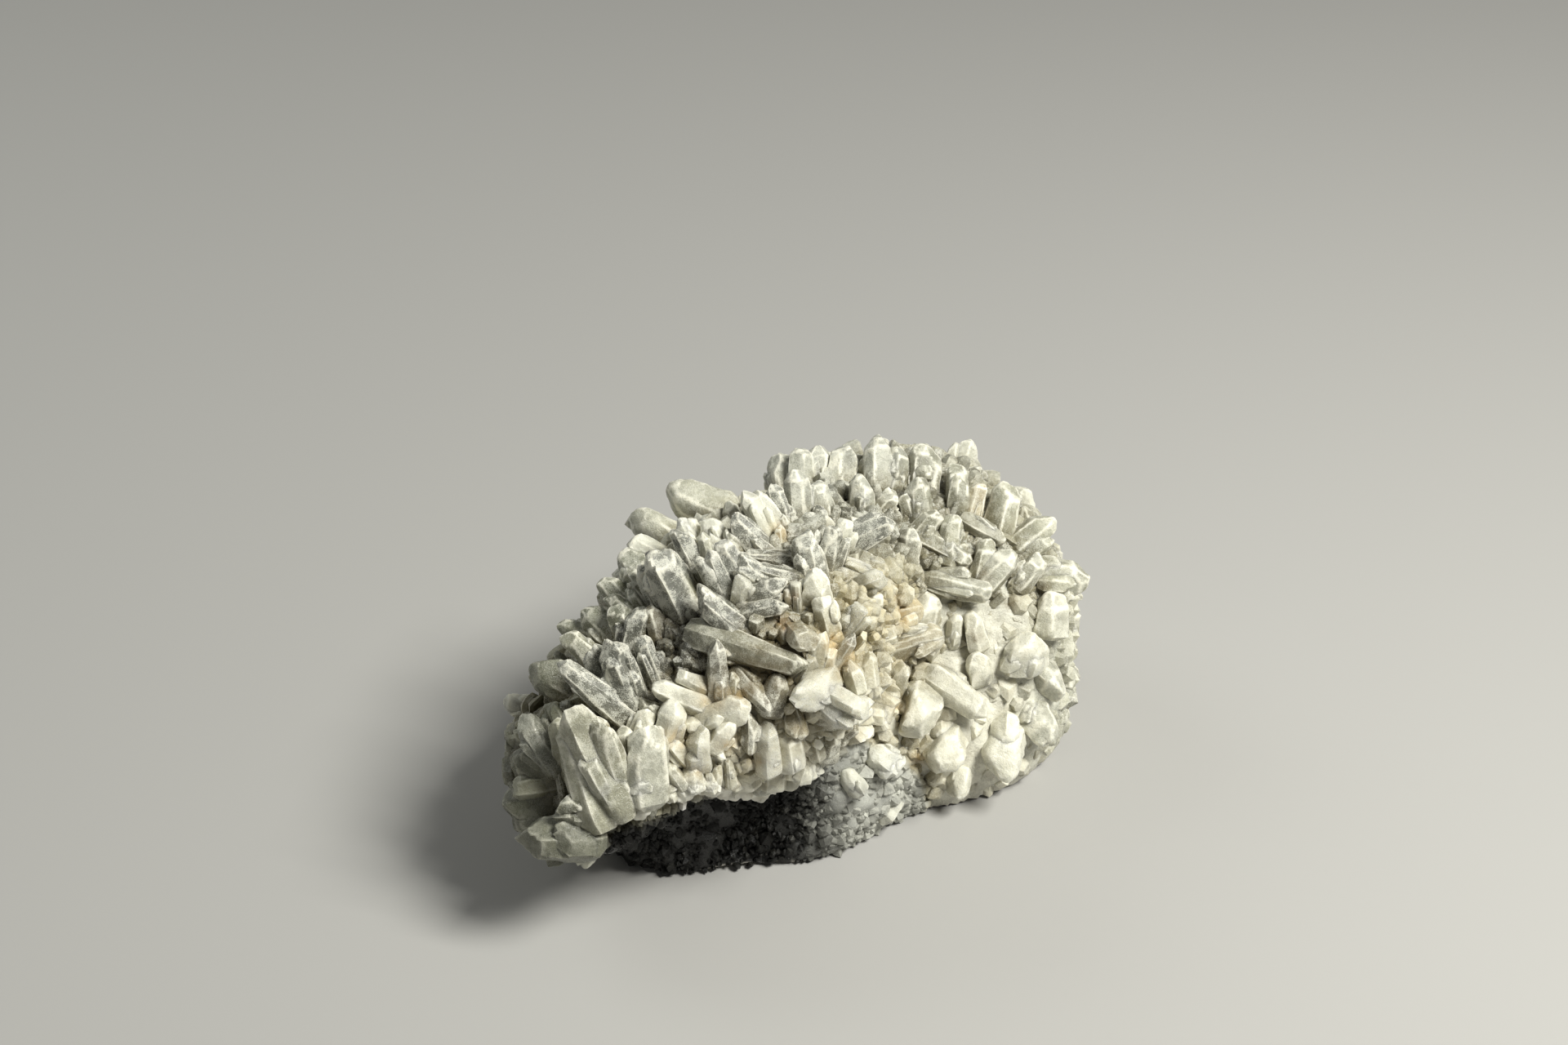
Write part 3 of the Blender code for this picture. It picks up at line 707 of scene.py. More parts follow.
# How a crystal ends: how far below its tip the rays turn (in widths), how far past the tip the
# slanting faces would meet, the break's tilt (degrees) and how crisp the edges are.
ENDS = {
    "point": (0.75, 1.0, 60.0, 60.0), "blunt": (0.60, 1.40, 46.0, 50.0),
    "round": (0.50, 1.24, 28.0, 18.0), "flat": (0.30, 3.0, 4.0, 50.0),
    "oval": (0.50, 1.12, 8.0, 5.5),
}
FULL_GRID = (5, 8, 7)
BUNDLE_GRID = (3, 4, 5)
PLAIN_GRID = (1, 2, 3)
LARGE_CREASE = 30.0
SMALL_CREASE = 20.0
SMOOTH = (0.0, 0.0)
# How much of a crystal's colour is its own; the rest is the rock's at its root.
OWN_SHARE = 0.58


def corner_turns(sides, gaps, per_side):
    """Column angles that fall on the prism's corners, with the rest even in between."""
    after, gaps_after = np.roll(sides, -1, axis=1), np.roll(gaps, -1, axis=1)
    corner_x = gaps * np.sin(after) - gaps_after * np.sin(sides)
    corner_y = gaps_after * np.cos(sides) - gaps * np.cos(after)
    corners = np.unwrap(np.arctan2(corner_y, corner_x), axis=1)
    following = np.concatenate([corners[:, 1:], corners[:, :1] + math.tau], axis=1)
    share = np.arange(per_side) / per_side
    return (corners[:, :, None] * (1 - share) + following[:, :, None] * share).reshape(
        len(sides), -1)


def crystal_skins(base, axis, length, width, end, dice, grid_size, rough):
    """The skins of many crystals at once, as arrays of crystals x rows x columns.

    Rays go out level from a line up a crystal's middle, and from its last point they turn up to the
    tip. A ray's length is the power mean of its distances to flat faces: six prism faces at uneven
    distances, each stepped in at a few heights, six slanting tip faces, a break across the tip and
    three chips off its shoulders. The power leaves the edges worn. Rough is how far the skin is
    uneven, in its larger and its finer lumps.
    """
    per_side, up_rows, over_rows = grid_size
    around = per_side * 6
    count = len(length)
    turn_share, apex, tilt, crisp = (np.array([ENDS[kind][i] for kind in end]) for i in range(4))
    reach = np.minimum(turn_share * width, 0.5 * length)
    top = length - reach
    first = unit(np.cross(axis, unit(dice.normal(size=(count, 3)))))
    second = np.cross(axis, first)
    flat = dice.uniform(0.74, 1.0, count)

    sides = np.arange(6) * math.tau / 6 + dice.normal(0, 0.14, (count, 6))
    taper = dice.uniform(0.01, 0.09, (count, 1)) + dice.normal(0, 0.03, (count, 6))
    prism = np.stack([np.cos(sides), np.sin(sides), taper], -1)
    prism_gap = 0.5 * width[:, None] * dice.uniform(0.86, 1.18, (count, 6))
    slanting = np.stack([math.sin(TIP_SLANT) * np.cos(sides), math.sin(TIP_SLANT) * np.sin(sides),
                         np.full((count, 6), math.cos(TIP_SLANT))], axis=-1)
    uneven = dice.uniform(0.9, 1.6, (count, 6))
    uneven /= uneven.min(axis=1, keepdims=True)
    slanting_gap = math.cos(TIP_SLANT) * (reach * apex)[:, None] * uneven
    tilts = np.concatenate([np.radians(tilt)[:, None] * dice.uniform(0.2, 1.0, (count, 1)),
                            np.radians(dice.uniform(42, 78, (count, 3)))], axis=1)
    turns = dice.uniform(0, math.tau, (count, 4))
    cuts = np.stack([np.sin(tilts) * np.cos(turns), np.sin(tilts) * np.sin(turns),
                     np.cos(tilts)], axis=-1)
    cut_gap = 0.5 * width[:, None] * np.sin(tilts) + reach[:, None] * np.cos(tilts)
    cut_gap = cut_gap * dice.uniform(0.58, 0.96, (count, 4))
    cut_gap[:, 0] = np.where(apex > 1.0, reach * np.cos(tilts[:, 0]), 50.0)
    faces = np.concatenate([prism, slanting, cuts], axis=1)

    rise = np.concatenate([np.zeros(up_rows), np.linspace(0, math.pi / 2, over_rows + 1)[1:]])
    lift = np.concatenate([top[:, None] * np.linspace(0, 1, up_rows),
                           np.repeat(top[:, None], over_rows, axis=1)], axis=1)
    turn = corner_turns(sides, prism_gap, per_side)
    level = np.cos(rise)[None, :, None]
    rays = np.stack(np.broadcast_arrays(
        level * np.cos(turn)[:, None], level * np.sin(turn)[:, None],
        np.sin(rise)[None, :, None]), axis=-1)

    step_at = dice.uniform(0.15, 0.95, (count, 6, 3)) * top[:, None, None]
    step_in = dice.uniform(-0.04, 0.08, (count, 6, 3))
    stepped = (1 - (step_in[:, None] * 0.5 * (1 + np.tanh(
        (lift[:, :, None, None] - step_at[:, None]) / 0.18))).sum(axis=-1))
    gaps = np.concatenate([
        prism_gap[:, None] * stepped,
        np.repeat(np.concatenate([slanting_gap, cut_gap], axis=1)[:, None], len(rise), axis=1),
    ], axis=2)
    gaps = gaps - faces[:, None, :, 2] * (lift - top[:, None])[:, :, None]
    facing = np.einsum("krac,kfc->kraf", rays, faces)
    stops = np.where(facing > 1e-3, gaps[:, :, None] / np.maximum(facing, 1e-3), 1e3)
    stops = np.clip(stops, 0.02, 1e3)
    power = crisp[:, None, None]
    ray_length = (stops ** -power[..., None]).sum(axis=-1) ** (-1 / power)
    narrow = np.ones(len(rise))
    narrow[0] = 0.6
    if up_rows > 3:
        narrow[1] = 0.93
    ray_length = ray_length * narrow[None, :, None]
    nearest = np.partition(stops, 1, axis=-1)
    edge = np.exp(-(nearest[..., 1] / nearest[..., 0] - 1) / 0.12) * min(1.0, 0.3 * per_side)

    def in_place(out):
        """The ends of the rays, set on each crystal's own axes."""
        sideways = (rays[..., 0] * out)[..., None] * first[:, None, None]
        aside = rays[..., 1] * out * flat[:, None, None]
        sideways = sideways + aside[..., None] * second[:, None, None]
        height = lift[:, :, None] + rays[..., 2] * out
        return base[:, None, None] + sideways + height[..., None] * axis[:, None, None]

    spots = in_place(ray_length)
    worn = rough[0] * unevenness(spots, 2.6, 21) + rough[1] * unevenness(spots, 0.9, 22)
    spots = in_place(ray_length * (1 + worn))
    corners = np.concatenate([spots[:, :-1].reshape(count, -1, 3), spots[:, -1, :1],
                              base[:, None]], axis=1)
    edge = np.concatenate([edge[:, :-1].reshape(count, -1), edge[:, -1, :1],
                           np.zeros((count, 1))], axis=1)
    return corners, edge


def skin_faces(count, grid_size):
    """The quads between rows and columns, and the triangles to a pole at each end, per crystal."""
    around = grid_size[0] * 6
    rows = grid_size[1] + grid_size[2] - 1
    own = np.arange(rows * around).reshape(rows, around)
    after = np.roll(own, -1, axis=1)
    quads = np.stack([own[:-1], after[:-1], after[1:], own[1:]], axis=-1).reshape(-1, 4)
    tip, root = rows * around, rows * around + 1
    triangles = np.concatenate([
        np.stack([own[-1], after[-1], np.full(around, tip)], axis=-1),
        np.stack([after[0], own[0], np.full(around, root)], axis=-1),
    ])
    shift = (np.arange(count) * (rows * around + 2))[:, None, None]
    return (quads + shift).reshape(-1, 4), (triangles + shift).reshape(-1, 3)


# Crystals are painted darker, with a tan cast, at their feet and lighter towards their tips: painted
# shade low down and painted light higher up.
ROOT_PAINTED_SHADE = np.array([0.70, 0.66, 0.56])
TIP_PAINTED_LIGHT = np.array([1.12, 1.12, 1.12])


def join_skins(name, parts, crease):
    """One piece out of several batches of crystals.

    A batch is its corners and edge field, its colours and materials (one per crystal) and its
    grid. Dirt and painted shade gather in the first few millimetres above the body, and each crystal
    is painted darker at its foot and lighter towards its tip.
    """
    corners, quads, triangles, colours, edges, dirt_and_shade_parts, rooms_to_whiten, quad_choice, cap_choice = (
        [] for _ in range(9))
    shift = 0
    for spots, edge, tints, choices, grid_size in parts:
        count, each = spots.shape[:2]
        own_quads, own_triangles = skin_faces(count, grid_size)
        flat_spots = spots.reshape(-1, 3)
        own = np.repeat(tints, each, axis=0)
        corners.append(flat_spots)
        above = body_distance(flat_spots)
        # Painted shade at the foot and painted light towards the tip, with less of the shade over the
        # lobe and in the hollow.
        rise = ramp(above, 0.0, 5.0)[:, None]
        plain = np.maximum(lobe_share(flat_spots), hollow_share(flat_spots))[:, None]
        own = own * ((ROOT_PAINTED_SHADE + (1 - ROOT_PAINTED_SHADE) * 0.8 * plain) * (1 - rise) + TIP_PAINTED_LIGHT * rise)
        own, room_to_whiten = stained_and_shaded(flat_spots, own)
        colours.append(own)
        rooms_to_whiten.append(room_to_whiten)
        edges.append(edge.ravel())
        dirt_and_shade_parts.append(ramp(above, 3.4, 0.2) * crevice_dirt_and_shade(flat_spots))
        quads.append(own_quads + shift)
        triangles.append(own_triangles + shift)
        quad_choice.append(np.repeat(choices, len(own_quads) // count))
        cap_choice.append(np.repeat(choices, len(own_triangles) // count))
        shift += count * each
    return add_piece(name, np.concatenate(corners), np.concatenate(quads),
                     np.concatenate(triangles), np.concatenate(colours),
                     {"edge": np.concatenate(edges), "dirt_and_shade": np.concatenate(dirt_and_shade_parts),
                      "room_to_whiten": np.concatenate(rooms_to_whiten)},
                     [milky_quartz, smoky_quartz, clear_quartz],
                     np.concatenate(quad_choice + cap_choice), crease)


grown_roots, grown_axes, grown_sizes = [], [], []
BUNDLE = 3


def bundled(base, axis, length, width, dice, share=1.0):
    """The lesser crystals grown into each large one's flanks: nearly parallel and mostly shorter.

    Share is how far up the large one's length they may go.
    """
    base, axis = np.repeat(base, BUNDLE, axis=0), np.repeat(axis, BUNDLE, axis=0)
    length, width = np.repeat(length, BUNDLE), np.repeat(width, BUNDLE)
    away = unit(np.cross(axis, dice.normal(size=(len(base), 3))))
    start = dice.uniform(0.0, 0.35, len(base))
    small_width = width * dice.uniform(0.40, 0.86, len(base))
    small_length = length * (share * dice.uniform(0.50, 0.96, len(base)) - start)
    small_base = base + axis * (start * length)[:, None]
    small_base = small_base + away * (width * dice.uniform(0.14, 0.36, len(base)))[:, None]
    small_axis = unit(axis + away * dice.uniform(0.0, 0.30, (len(base), 1)))
    return small_base, small_axis, np.maximum(small_length, 1.5), small_width


def grow(name, rows, seed, share=1.0):
    """A group of crystals from its rows, with the lesser ones on their flanks, as one piece.

    One that lies so flat that the rock would bury it is carried out towards the eye.
    """
    dice = np.random.default_rng(seed)
    numbers = np.array([row[:6] for row in rows], float)
    roots, scale = seen_roots(numbers[:, 0], numbers[:, 1])
    across = (numbers[:, 2] - numbers[:, 0]) * scale
    up = (numbers[:, 3] - numbers[:, 1]) * scale
    nearer = np.hypot(across, up) * np.tan(np.radians(numbers[:, 5]))
    axis = across[:, None] * RIGHT + up[:, None] * UP - nearer[:, None] * AHEAD
    above_lip = numbers[:, 1] - np.interp(numbers[:, 0], LIP_ACROSS, LIP_UP)
    depth = ROOT_DEPTH * (1 - 0.65 * np.exp(-((above_lip - 1.0) / 2.5) ** 2))
    length = np.linalg.norm(axis, axis=1) + depth
    axis = unit(axis)
    width = numbers[:, 4] * scale
    shares = np.linspace(0.35, 0.95, 5)[:, None, None]
    buried = 0.32 * width - body_distance(roots + axis * length[:, None] * shares).min(axis=0)
    roots = roots - AHEAD * np.clip(buried, 0.0, MOST_CARRIED)[:, None]
    base = roots - axis * depth[:, None]
    ends = [row[7] for row in rows]
    tints = np.array([FINISHES[row[6]][0] for row in rows])
    choices = np.array([FINISHES[row[6]][1] for row in rows])
    local = rock_tone_with_shade(roots, outward(roots))
    tints = (OWN_SHARE * tints + (1 - OWN_SHARE) * local) * dice.uniform(
        0.88, 1.12, (len(rows), 1))
    skins = crystal_skins(base, axis, length, width, ends, dice, FULL_GRID, (0.035, 0.025))
    small = bundled(base, axis, length, width, dice, share)
    small_ends = dice.choice(["point", "blunt", "blunt"], len(small[0]))
    small_skins = crystal_skins(*small, small_ends, dice, BUNDLE_GRID, (0.03, 0.02))
    small_tints = np.repeat(tints, BUNDLE, axis=0) * dice.uniform(0.9, 1.15, (len(small[0]), 1))
    grown_roots.append(roots)
    grown_axes.append(axis)
    grown_sizes.append(np.stack([length - depth, width], axis=1))
    return join_skins(name, [
        (*skins, tints, choices, FULL_GRID),
        (*small_skins, small_tints, np.repeat(choices, BUNDLE), BUNDLE_GRID),
    ], LARGE_CREASE)


grow("left_end_crystals", LEFT_END, 101)


# ---- Front prisms ----
# The long cream prisms that stand side by side over the left of the lip, their feet on its edge,
# and the short milky ones to their right. They are translucent, with rubbed corners.
FRONT_PRISMS = (
    (-32, -4.2, -41, 14.4, 8.2, 16, "cream", "blunt"),
    (-36.2, -5.5, -42.2, 11.5, 6.4, 10, "cream", "blunt"),
    (-41.5, 3, -43.6, 12.6, 4.2, 12, "cream", "blunt"),
    (-34.5, -5, -38.5, 1.2, 4.4, 20, "brown", "blunt"),
    (-33.5, 4, -37, 12.6, 3.6, 8, "brown", "point"),
    (-27.2, -1.8, -27.8, 11.2, 7.2, 22, "milky", "blunt"),
    (-31, 2, -31.8, 11, 3.6, 14, "milky", "blunt"),
    (-24, 8.5, -22.2, 15.9, 5.6, 26, "white", "round"),
    (-29.5, 8.5, -27, 14.4, 4, 20, "white", "blunt"),
    (-21.5, 6.5, -24, 9.6, 4, 34, "white", "round"),
    (-22, 0.8, -24.2, 4.4, 3.8, 20, "milky", "blunt"),
    (-24.8, 13.2, -28.9, 15.4, 3.2, 18, "olive", "blunt"),
)
grow("front_prisms", FRONT_PRISMS, 102)


# ---- Left shoulder ----
# Smoky grey prisms that lean back over the left shoulder, dark in their depth and dusted with
# sugary grains, with olive stubs along the skyline behind them.
LEFT_SHOULDER = (
    (-31, 13.6, -43.2, 23, 4.2, 16, "smoke", "blunt"),
    (-30.2, 16.2, -34.2, 27.4, 6.2, 18, "smoke", "blunt"),
    (-29, 18, -32, 26.5, 3, 26, "smoke", "point"),
    (-33.6, 17.5, -36.8, 26.6, 3.6, 6, "smoke", "point"),
    (-25.8, 20, -28.6, 27.8, 3.6, 12, "smoke", "blunt"),
    (-30.2, 25.6, -28.6, 33.2, 5.4, 10, "smoke", "round"),
    (-37, 23.4, -42.8, 28.4, 4.6, 4, "cream", "round"),
    (-42.2, 18.4, -49.2, 22.4, 6.8, 2, "clay", "round"),
    (-41.6, 21, -44.4, 25, 2.8, 2, "smoke", "blunt"),
    (-36, 27.5, -44, 29.6, 3.6, -14, "olive", "round"),
    (-33.5, 28, -39.6, 33, 5.6, -14, "olive", "round"),
    (-31, 27.5, -33.4, 33.6, 5, 4, "olive", "blunt"),
    (-29.5, 32.5, -36, 38.6, 4.6, -12, "olive", "round"),
    (-28, 32.5, -31, 36.8, 4.4, -4, "olive", "round"),
    (-27, 34.5, -31.2, 40.6, 3.4, -12, "cream", "round"),
    (-25, 28.5, -26.8, 33.6, 4.2, 6, "brown", "round"),
)
grow("left_shoulder_crystals", LEFT_SHOULDER, 103)


# ---- White band ----
# The chalk-white, blocky crystals along the crust's lower edge, grown through one another and
# stained ochre where clay has stayed in the gaps.
WHITE_BAND = (
    (-17.2, 15, -26.4, 18.9, 4, 18, "white", "round"),
    (-16, 18, -21.8, 20.8, 3.4, 24, "white", "blunt"),
    (-15.8, 12, -8.5, 15.2, 5.6, 22, "white", "blunt"),
    (-13.5, 11, -20.4, 11.6, 3.2, 18, "white", "round"),
    (-14, 9, -12, 12.4, 5.4, 30, "white", "blunt"),
    (-17.8, 5.5, -17.4, 10.6, 5.4, 38, "clear", "blunt"),
    (-16.4, 0.6, -17.3, 6.4, 2.2, 22, "clear", "point"),
    (-12.1, 1.8, -12.4, 6, 1.9, 20, "cream", "point"),
    (-9.2, 1.8, -9.8, 6.6, 5.6, 28, "white", "blunt"),
    (-4.2, 1.4, -4, 5.6, 5.4, 28, "white", "blunt"),
    (0.6, 3, 1, 7.4, 5.8, 30, "white", "blunt"),
    (-1, 5.4, -2, 11.6, 5.4, 30, "white", "blunt"),
    (-5.2, 4.4, -5.6, 11.8, 5.4, 34, "clear", "blunt"),
    (-14.6, 1.4, -14, 4.1, 2.2, 24, "white", "blunt"),
    (-19.2, 0.8, -19.4, 4, 4.6, 18, "white", "blunt"),
    (-9, 1, -14.6, 1.6, 2.6, 16, "brown", "round"),
    (-8.2, 9, -8.4, 14, 4, 26, "smoke", "point"),
    (-22.4, -0.6, -23, 1.6, 4.2, 45, "white", "round"),
    (-16.4, 0.6, -16.9, 2.4, 4.4, 48, "white", "blunt"),
    (-11.8, 0.4, -12, 2.2, 4, 48, "white", "round"),
    (-6.6, 0.4, -6.6, 2.2, 4.8, 46, "white", "blunt"),
    (-1.6, 1.6, -1.4, 3.6, 4.6, 44, "white", "round"),
    (2.8, 3.8, 3.2, 6, 4.8, 40, "white", "blunt"),
)
grow("white_band_crystals", WHITE_BAND, 104, 0.7)


# ---- Blades ----
# Thin, long crystals that lie across the middle of the crust, the longest with a dark tip, over a
# brown gap with small smoky points in it.
BLADES = (
    (-17, 28.3, 1.6, 22.4, 4.8, 18, "cream", "blunt"),
    (-14, 25, -3, 22.6, 3, 6, "brown", "blunt"),
    (-14, 16, -14.5, 27.1, 3.6, 18, "smoke", "point"),
    (-11.4, 15.8, -11.3, 21.3, 2.4, 22, "cream", "round"),
    (-9.8, 19.6, -4.2, 14.2, 4, 22, "smoke", "blunt"),
    (-4.4, 15.6, -2.6, 20.6, 4.6, 10, "smoke", "blunt"),
    (-10.5, 17, -9, 19.6, 3, 10, "brown", "blunt"),
    (0.6, 28.4, 1.8, 27.2, 5, 74, "brown", "flat"),
    (4.2, 24.4, 5, 28.6, 3.3, 30, "white", "blunt"),
    (5.8, 21.6, 7.2, 25.4, 3, 30, "white", "blunt"),
    (2, 21.4, 3.4, 24.4, 3.4, 30, "clear", "blunt"),
    (7.4, 22.6, 11, 27.9, 2.6, 24, "smoke", "point"),
)
grow("blade_crystals", BLADES, 105, 0.55)


# ---- Edge cluster ----
# Glassy crystals at the crust's right corner, over the hollow. They are the clearest on the
# specimen, with painted shade at the foot and painted light towards the tip, and grew out through
# the older ones.
EDGE_CLUSTER = (
    (4.6, 19, 1.8, 15.8, 7.2, 58, "clear", "blunt"),
    (5, 18.2, 13, 14.2, 5.8, 26, "clear", "blunt"),
    (4.2, 6.6, 2.6, 13.4, 3.8, 16, "milky", "point"),
    (5.6, 6, 7, 12.8, 4.8, 26, "smoke", "blunt"),
    (8.4, 8.6, 11.4, 10.9, 2.4, 28, "smoke", "blunt"),
    (6, 12.6, 10.6, 12.4, 4.2, 20, "clear", "blunt"),
    (0.2, 12.6, 1.6, 8.8, 3.4, -6, "brown", "blunt"),
)
grow("edge_cluster_crystals", EDGE_CLUSTER, 106)


# ---- Crown ----
# The smoky crystals on the crust's high middle, fanning left and up, and the two broad rounded
# tablets that stick out of the skyline on its left.
CROWN = (
    (-20.6, 33.4, -25.8, 43.8, 7.4, 20, "smoke", "blunt"),
    (-24, 33.6, -28.6, 41.2, 4.4, 2, "smoke", "blunt"),
    (-27, 37, -31.6, 44, 6, -14, "olive", "round"),
    (-22.6, 45.6, -31, 51, 7.6, -10, "cream", "oval"),
    (-13.4, 50.4, -24.4, 55.6, 8.4, -6, "cream", "oval"),
    (-10.4, 48.6, -12.6, 52.8, 3.4, -14, "cream", "round"),
    (-18.8, 44.6, -21.6, 49.6, 5, -4, "white", "round"),
    (-14, 44.8, -16.6, 49.6, 4.6, -2, "white", "round"),
    (-18.4, 40.4, -22.2, 47.6, 4.6, 6, "smoke", "blunt"),
    (-15.6, 40.6, -17.1, 47.2, 2.4, 12, "cream", "point"),
    (-12.2, 34.8, -16.2, 44.2, 4, 16, "smoke", "point"),
    (-9, 37.6, -14, 45.2, 4.2, 18, "smoke", "blunt"),
    (-11, 40.6, -12, 45.9, 3.3, 12, "clear", "round"),
    (-9.8, 43.6, -13, 47.6, 3.2, 4, "cream", "round"),
    (-5.8, 38, -10.6, 42.6, 4.2, 20, "smoke", "blunt"),
    (-10, 34.4, -9.4, 38.6, 4, 42, "clear", "blunt"),
    (-7.6, 35.2, -1.6, 37.4, 4.6, 26, "smoke", "point"),
    (-7.6, 32.4, -1, 33.6, 4.2, 24, "smoke", "point"),
    (-10.4, 29.2, -17.6, 35.6, 5, 20, "smoke", "blunt"),
    (-5, 46.4, -9.6, 54.9, 3.8, -2, "white", "point"),
    (-3.2, 47.8, -7.2, 55, 3, -6, "white", "point"),
    (-1.8, 49, -4, 56.2, 3.6, -4, "smoke", "point"),
    (-6, 43.8, -11.6, 49.6, 3.6, 6, "smoke", "blunt"),
    (-2.4, 44.6, -3, 48.4, 2.8, 14, "ochre", "blunt"),
    (-0.6, 47.2, -2.9, 49.8, 2.2, 10, "cream", "blunt"),
    (3, 39.8, 1.4, 47, 6.2, 18, "smoke", "blunt"),
    (-4.8, 43.2, -8, 46.1, 2.6, 12, "smoke", "blunt"),
    (-2, 41.8, -9.4, 42.8, 3, 10, "smoke", "blunt"),
    (-1, 38.4, -7.6, 40.4, 3.6, 12, "smoke", "blunt"),
)
grow("crown_crystals", CROWN, 107)


# ---- Skyline stubs ----
# Pale milky stubs that grew under the two tablets and between them, and close the gaps in the
# crown's left edge.
SKYLINE_STUBS = (
    (-23.6, 42, -30.6, 45.8, 4.8, -4, "white", "round"),
    (-20.4, 47, -25.8, 49.4, 3.6, 4, "white", "blunt"),
    (-24.8, 38.8, -30.6, 42.4, 3.8, 0, "cream", "round"),
)
grow("skyline_stubs", SKYLINE_STUBS, 111, 0.7)


# ---- Saddle ----
# Glassy and white crystals in the dip between the crown and the right lobe, grown round a pocket
# that has kept its ochre clay.
SADDLE = (
    (6, 40.8, 7.4, 48.2, 3.8, 12, "smoke", "blunt"),
    (8.4, 43.6, 9.6, 49.6, 3.2, 14, "white", "blunt"),
    (12, 45.6, 10.6, 50, 3, 12, "white", "blunt"),
    (9.6, 45, 18.4, 49.2, 4, 10, "smoke", "blunt"),
    (6.2, 47.2, 4.4, 50.6, 3, 6, "white", "blunt"),
    (5, 48.2, 4.4, 52.2, 2.6, 2, "smoke", "blunt"),
    (12, 37, 16.4, 38.8, 5, 46, "clear", "blunt"),
    (12, 38.6, 6.8, 39.8, 4.6, 30, "clear", "blunt"),
    (14.2, 41.6, 10.8, 43.9, 3.4, 18, "clear", "point"),
    (4, 35.2, 4, 39.8, 5.2, 40, "white", "blunt"),
    (0.2, 34.4, 0, 37.8, 2.6, 26, "white", "flat"),
    (6.2, 30.8, 4.8, 35.2, 4.2, 28, "white", "blunt"),
    (14, 33, 16.4, 35.6, 2.8, 16, "white", "point"),
    (10, 29.8, 12.6, 33.6, 4, 24, "clear", "blunt"),
    (11.2, 19.6, 10, 23.6, 4.2, 10, "cream", "round"),
)
grow("saddle_crystals", SADDLE, 108)


# ---- Ridge ----
# The milky crystals that stand along the top and back edge and down the right end, their tips
# rubbed round.
RIDGE = (
    (-1, 55, -3, 61.8, 6.8, -4, "milky", "round"),
    (1.4, 54.6, 1, 62.9, 5, -8, "milky", "round"),
    (4.6, 56.4, 4.3, 63.4, 4.4, -8, "milky", "round"),
    (9, 56.6, 9.2, 63.3, 5, -8, "milky", "round"),
    (16, 56.6, 15.6, 65.3, 6.2, -8, "milky", "round"),
    (18, 56.6, 19.6, 62.9, 4.4, -8, "milky", "round"),
    (24, 55.8, 24.8, 63.4, 6.6, -8, "cream", "round"),
    (30, 52.6, 30.2, 59.9, 4.8, -8, "cream", "round"),
    (33, 50.6, 34.6, 56.4, 3.6, -8, "ochre", "round"),
    (38, 48.6, 40, 56.2, 6.2, -6, "cream", "round"),
    (42, 45, 47.8, 49.8, 6.6, -6, "cream", "round"),
    (46, 38.6, 54.9, 38.4, 6.6, -4, "cream", "round"),
    (42, 38.2, 46, 42.6, 4.8, 6, "milky", "round"),
    (0.8, 50, 0, 58.9, 5.2, 8, "milky", "round"),
    (5, 50.6, 4, 56.6, 4.6, 8, "milky", "round"),
    (12, 51, 12.2, 58, 5.4, 6, "milky", "round"),
    (16, 51.2, 18.6, 54.4, 3.4, 8, "milky", "blunt"),
    (23, 50.2, 22.6, 57.6, 5.6, 6, "cream", "round"),
    (23, 46.6, 26.4, 51.2, 4.6, 10, "cream", "round"),
    (36, 38.2, 41, 43.2, 5.2, 6, "milky", "round"),
    (26.5, 38, 36.6, 36, 4.2, 14, "milky", "round"),
    (24, 46.2, 32.6, 41.2, 3.8, 12, "cream", "round"),
    (33, 48.8, 39, 45.4, 3.4, 8, "milky", "round"),
    (34.6, 40, 35.8, 46, 4.4, 6, "cream", "round"),
    (28.5, 43, 29.6, 50.6, 4.6, 4, "cream", "round"),
    (20.8, 43.2, 21.4, 48, 4.2, 8, "milky", "round"),
)
grow("ridge_crystals", RIDGE, 109, 0.8)


# ---- Right lobe ----
# The crystals and knobs of the cream lobe on the right, most of them stubs with a rubbed end that
# look straight out of the rock, and two brown blades at its inner edge.
RIGHT_LOBE = (
    (24.6, 27.2, 15.4, 24.6, 4.6, 18, "brown", "blunt"),
    (22, 28.6, 14.6, 27.2, 2.8, 20, "white", "blunt"),
    (21, 32.2, 16.4, 31.4, 3.8, 24, "ochre", "blunt"),
    (16.2, 27.4, 13, 26.4, 3, 26, "white", "round"),
    (23, 15.2, 22.6, 11.4, 8, 60, "ivory", "round"),
    (28, 7.4, 27.4, 4, 8.4, 60, "ivory", "round"),
    (26, 19.6, 35.6, 13.2, 4.8, 12, "ivory", "round"),
    (13.6, 21, 13.2, 24.8, 4, 20, "white", "blunt"),
    (23.6, 31, 24.8, 36, 6.6, 24, "white", "round"),
    (29.6, 28, 29.8, 32, 3, 24, "white", "round"),
    (34, 27.6, 32.6, 32.4, 4.6, 20, "ivory", "round"),
    (42, 23.6, 42.4, 28.6, 7.6, 30, "ivory", "round"),
    (47, 30, 47.6, 36.4, 7, 8, "ivory", "round"),
    (38.6, 7.6, 38, 3, 8.6, 46, "white", "round"),
    (44.6, 12.6, 46.6, 8, 7.6, 34, "milky", "round"),
    (46.4, 20, 49.8, 17, 7, 14, "milky", "round"),
    (34.2, 21, 33.6, 25, 5, 34, "ivory", "round"),
    (19, 19, 20.6, 22.6, 4.4, 26, "white", "blunt"),
    (17, 4.6, 13.6, 7, 5.2, 28, "white", "round"),
    (17.6, -4.4, 16.4, -6.6, 3.4, 30, "white", "blunt"),
    (11, 0.6, 9, 3.4, 3.4, 24, "white", "round"),
    (30.6, 1, 29.8, -2.2, 5.6, 20, "white", "round"),
)
grow("right_lobe_crystals", RIGHT_LOBE, 110, 0.7)


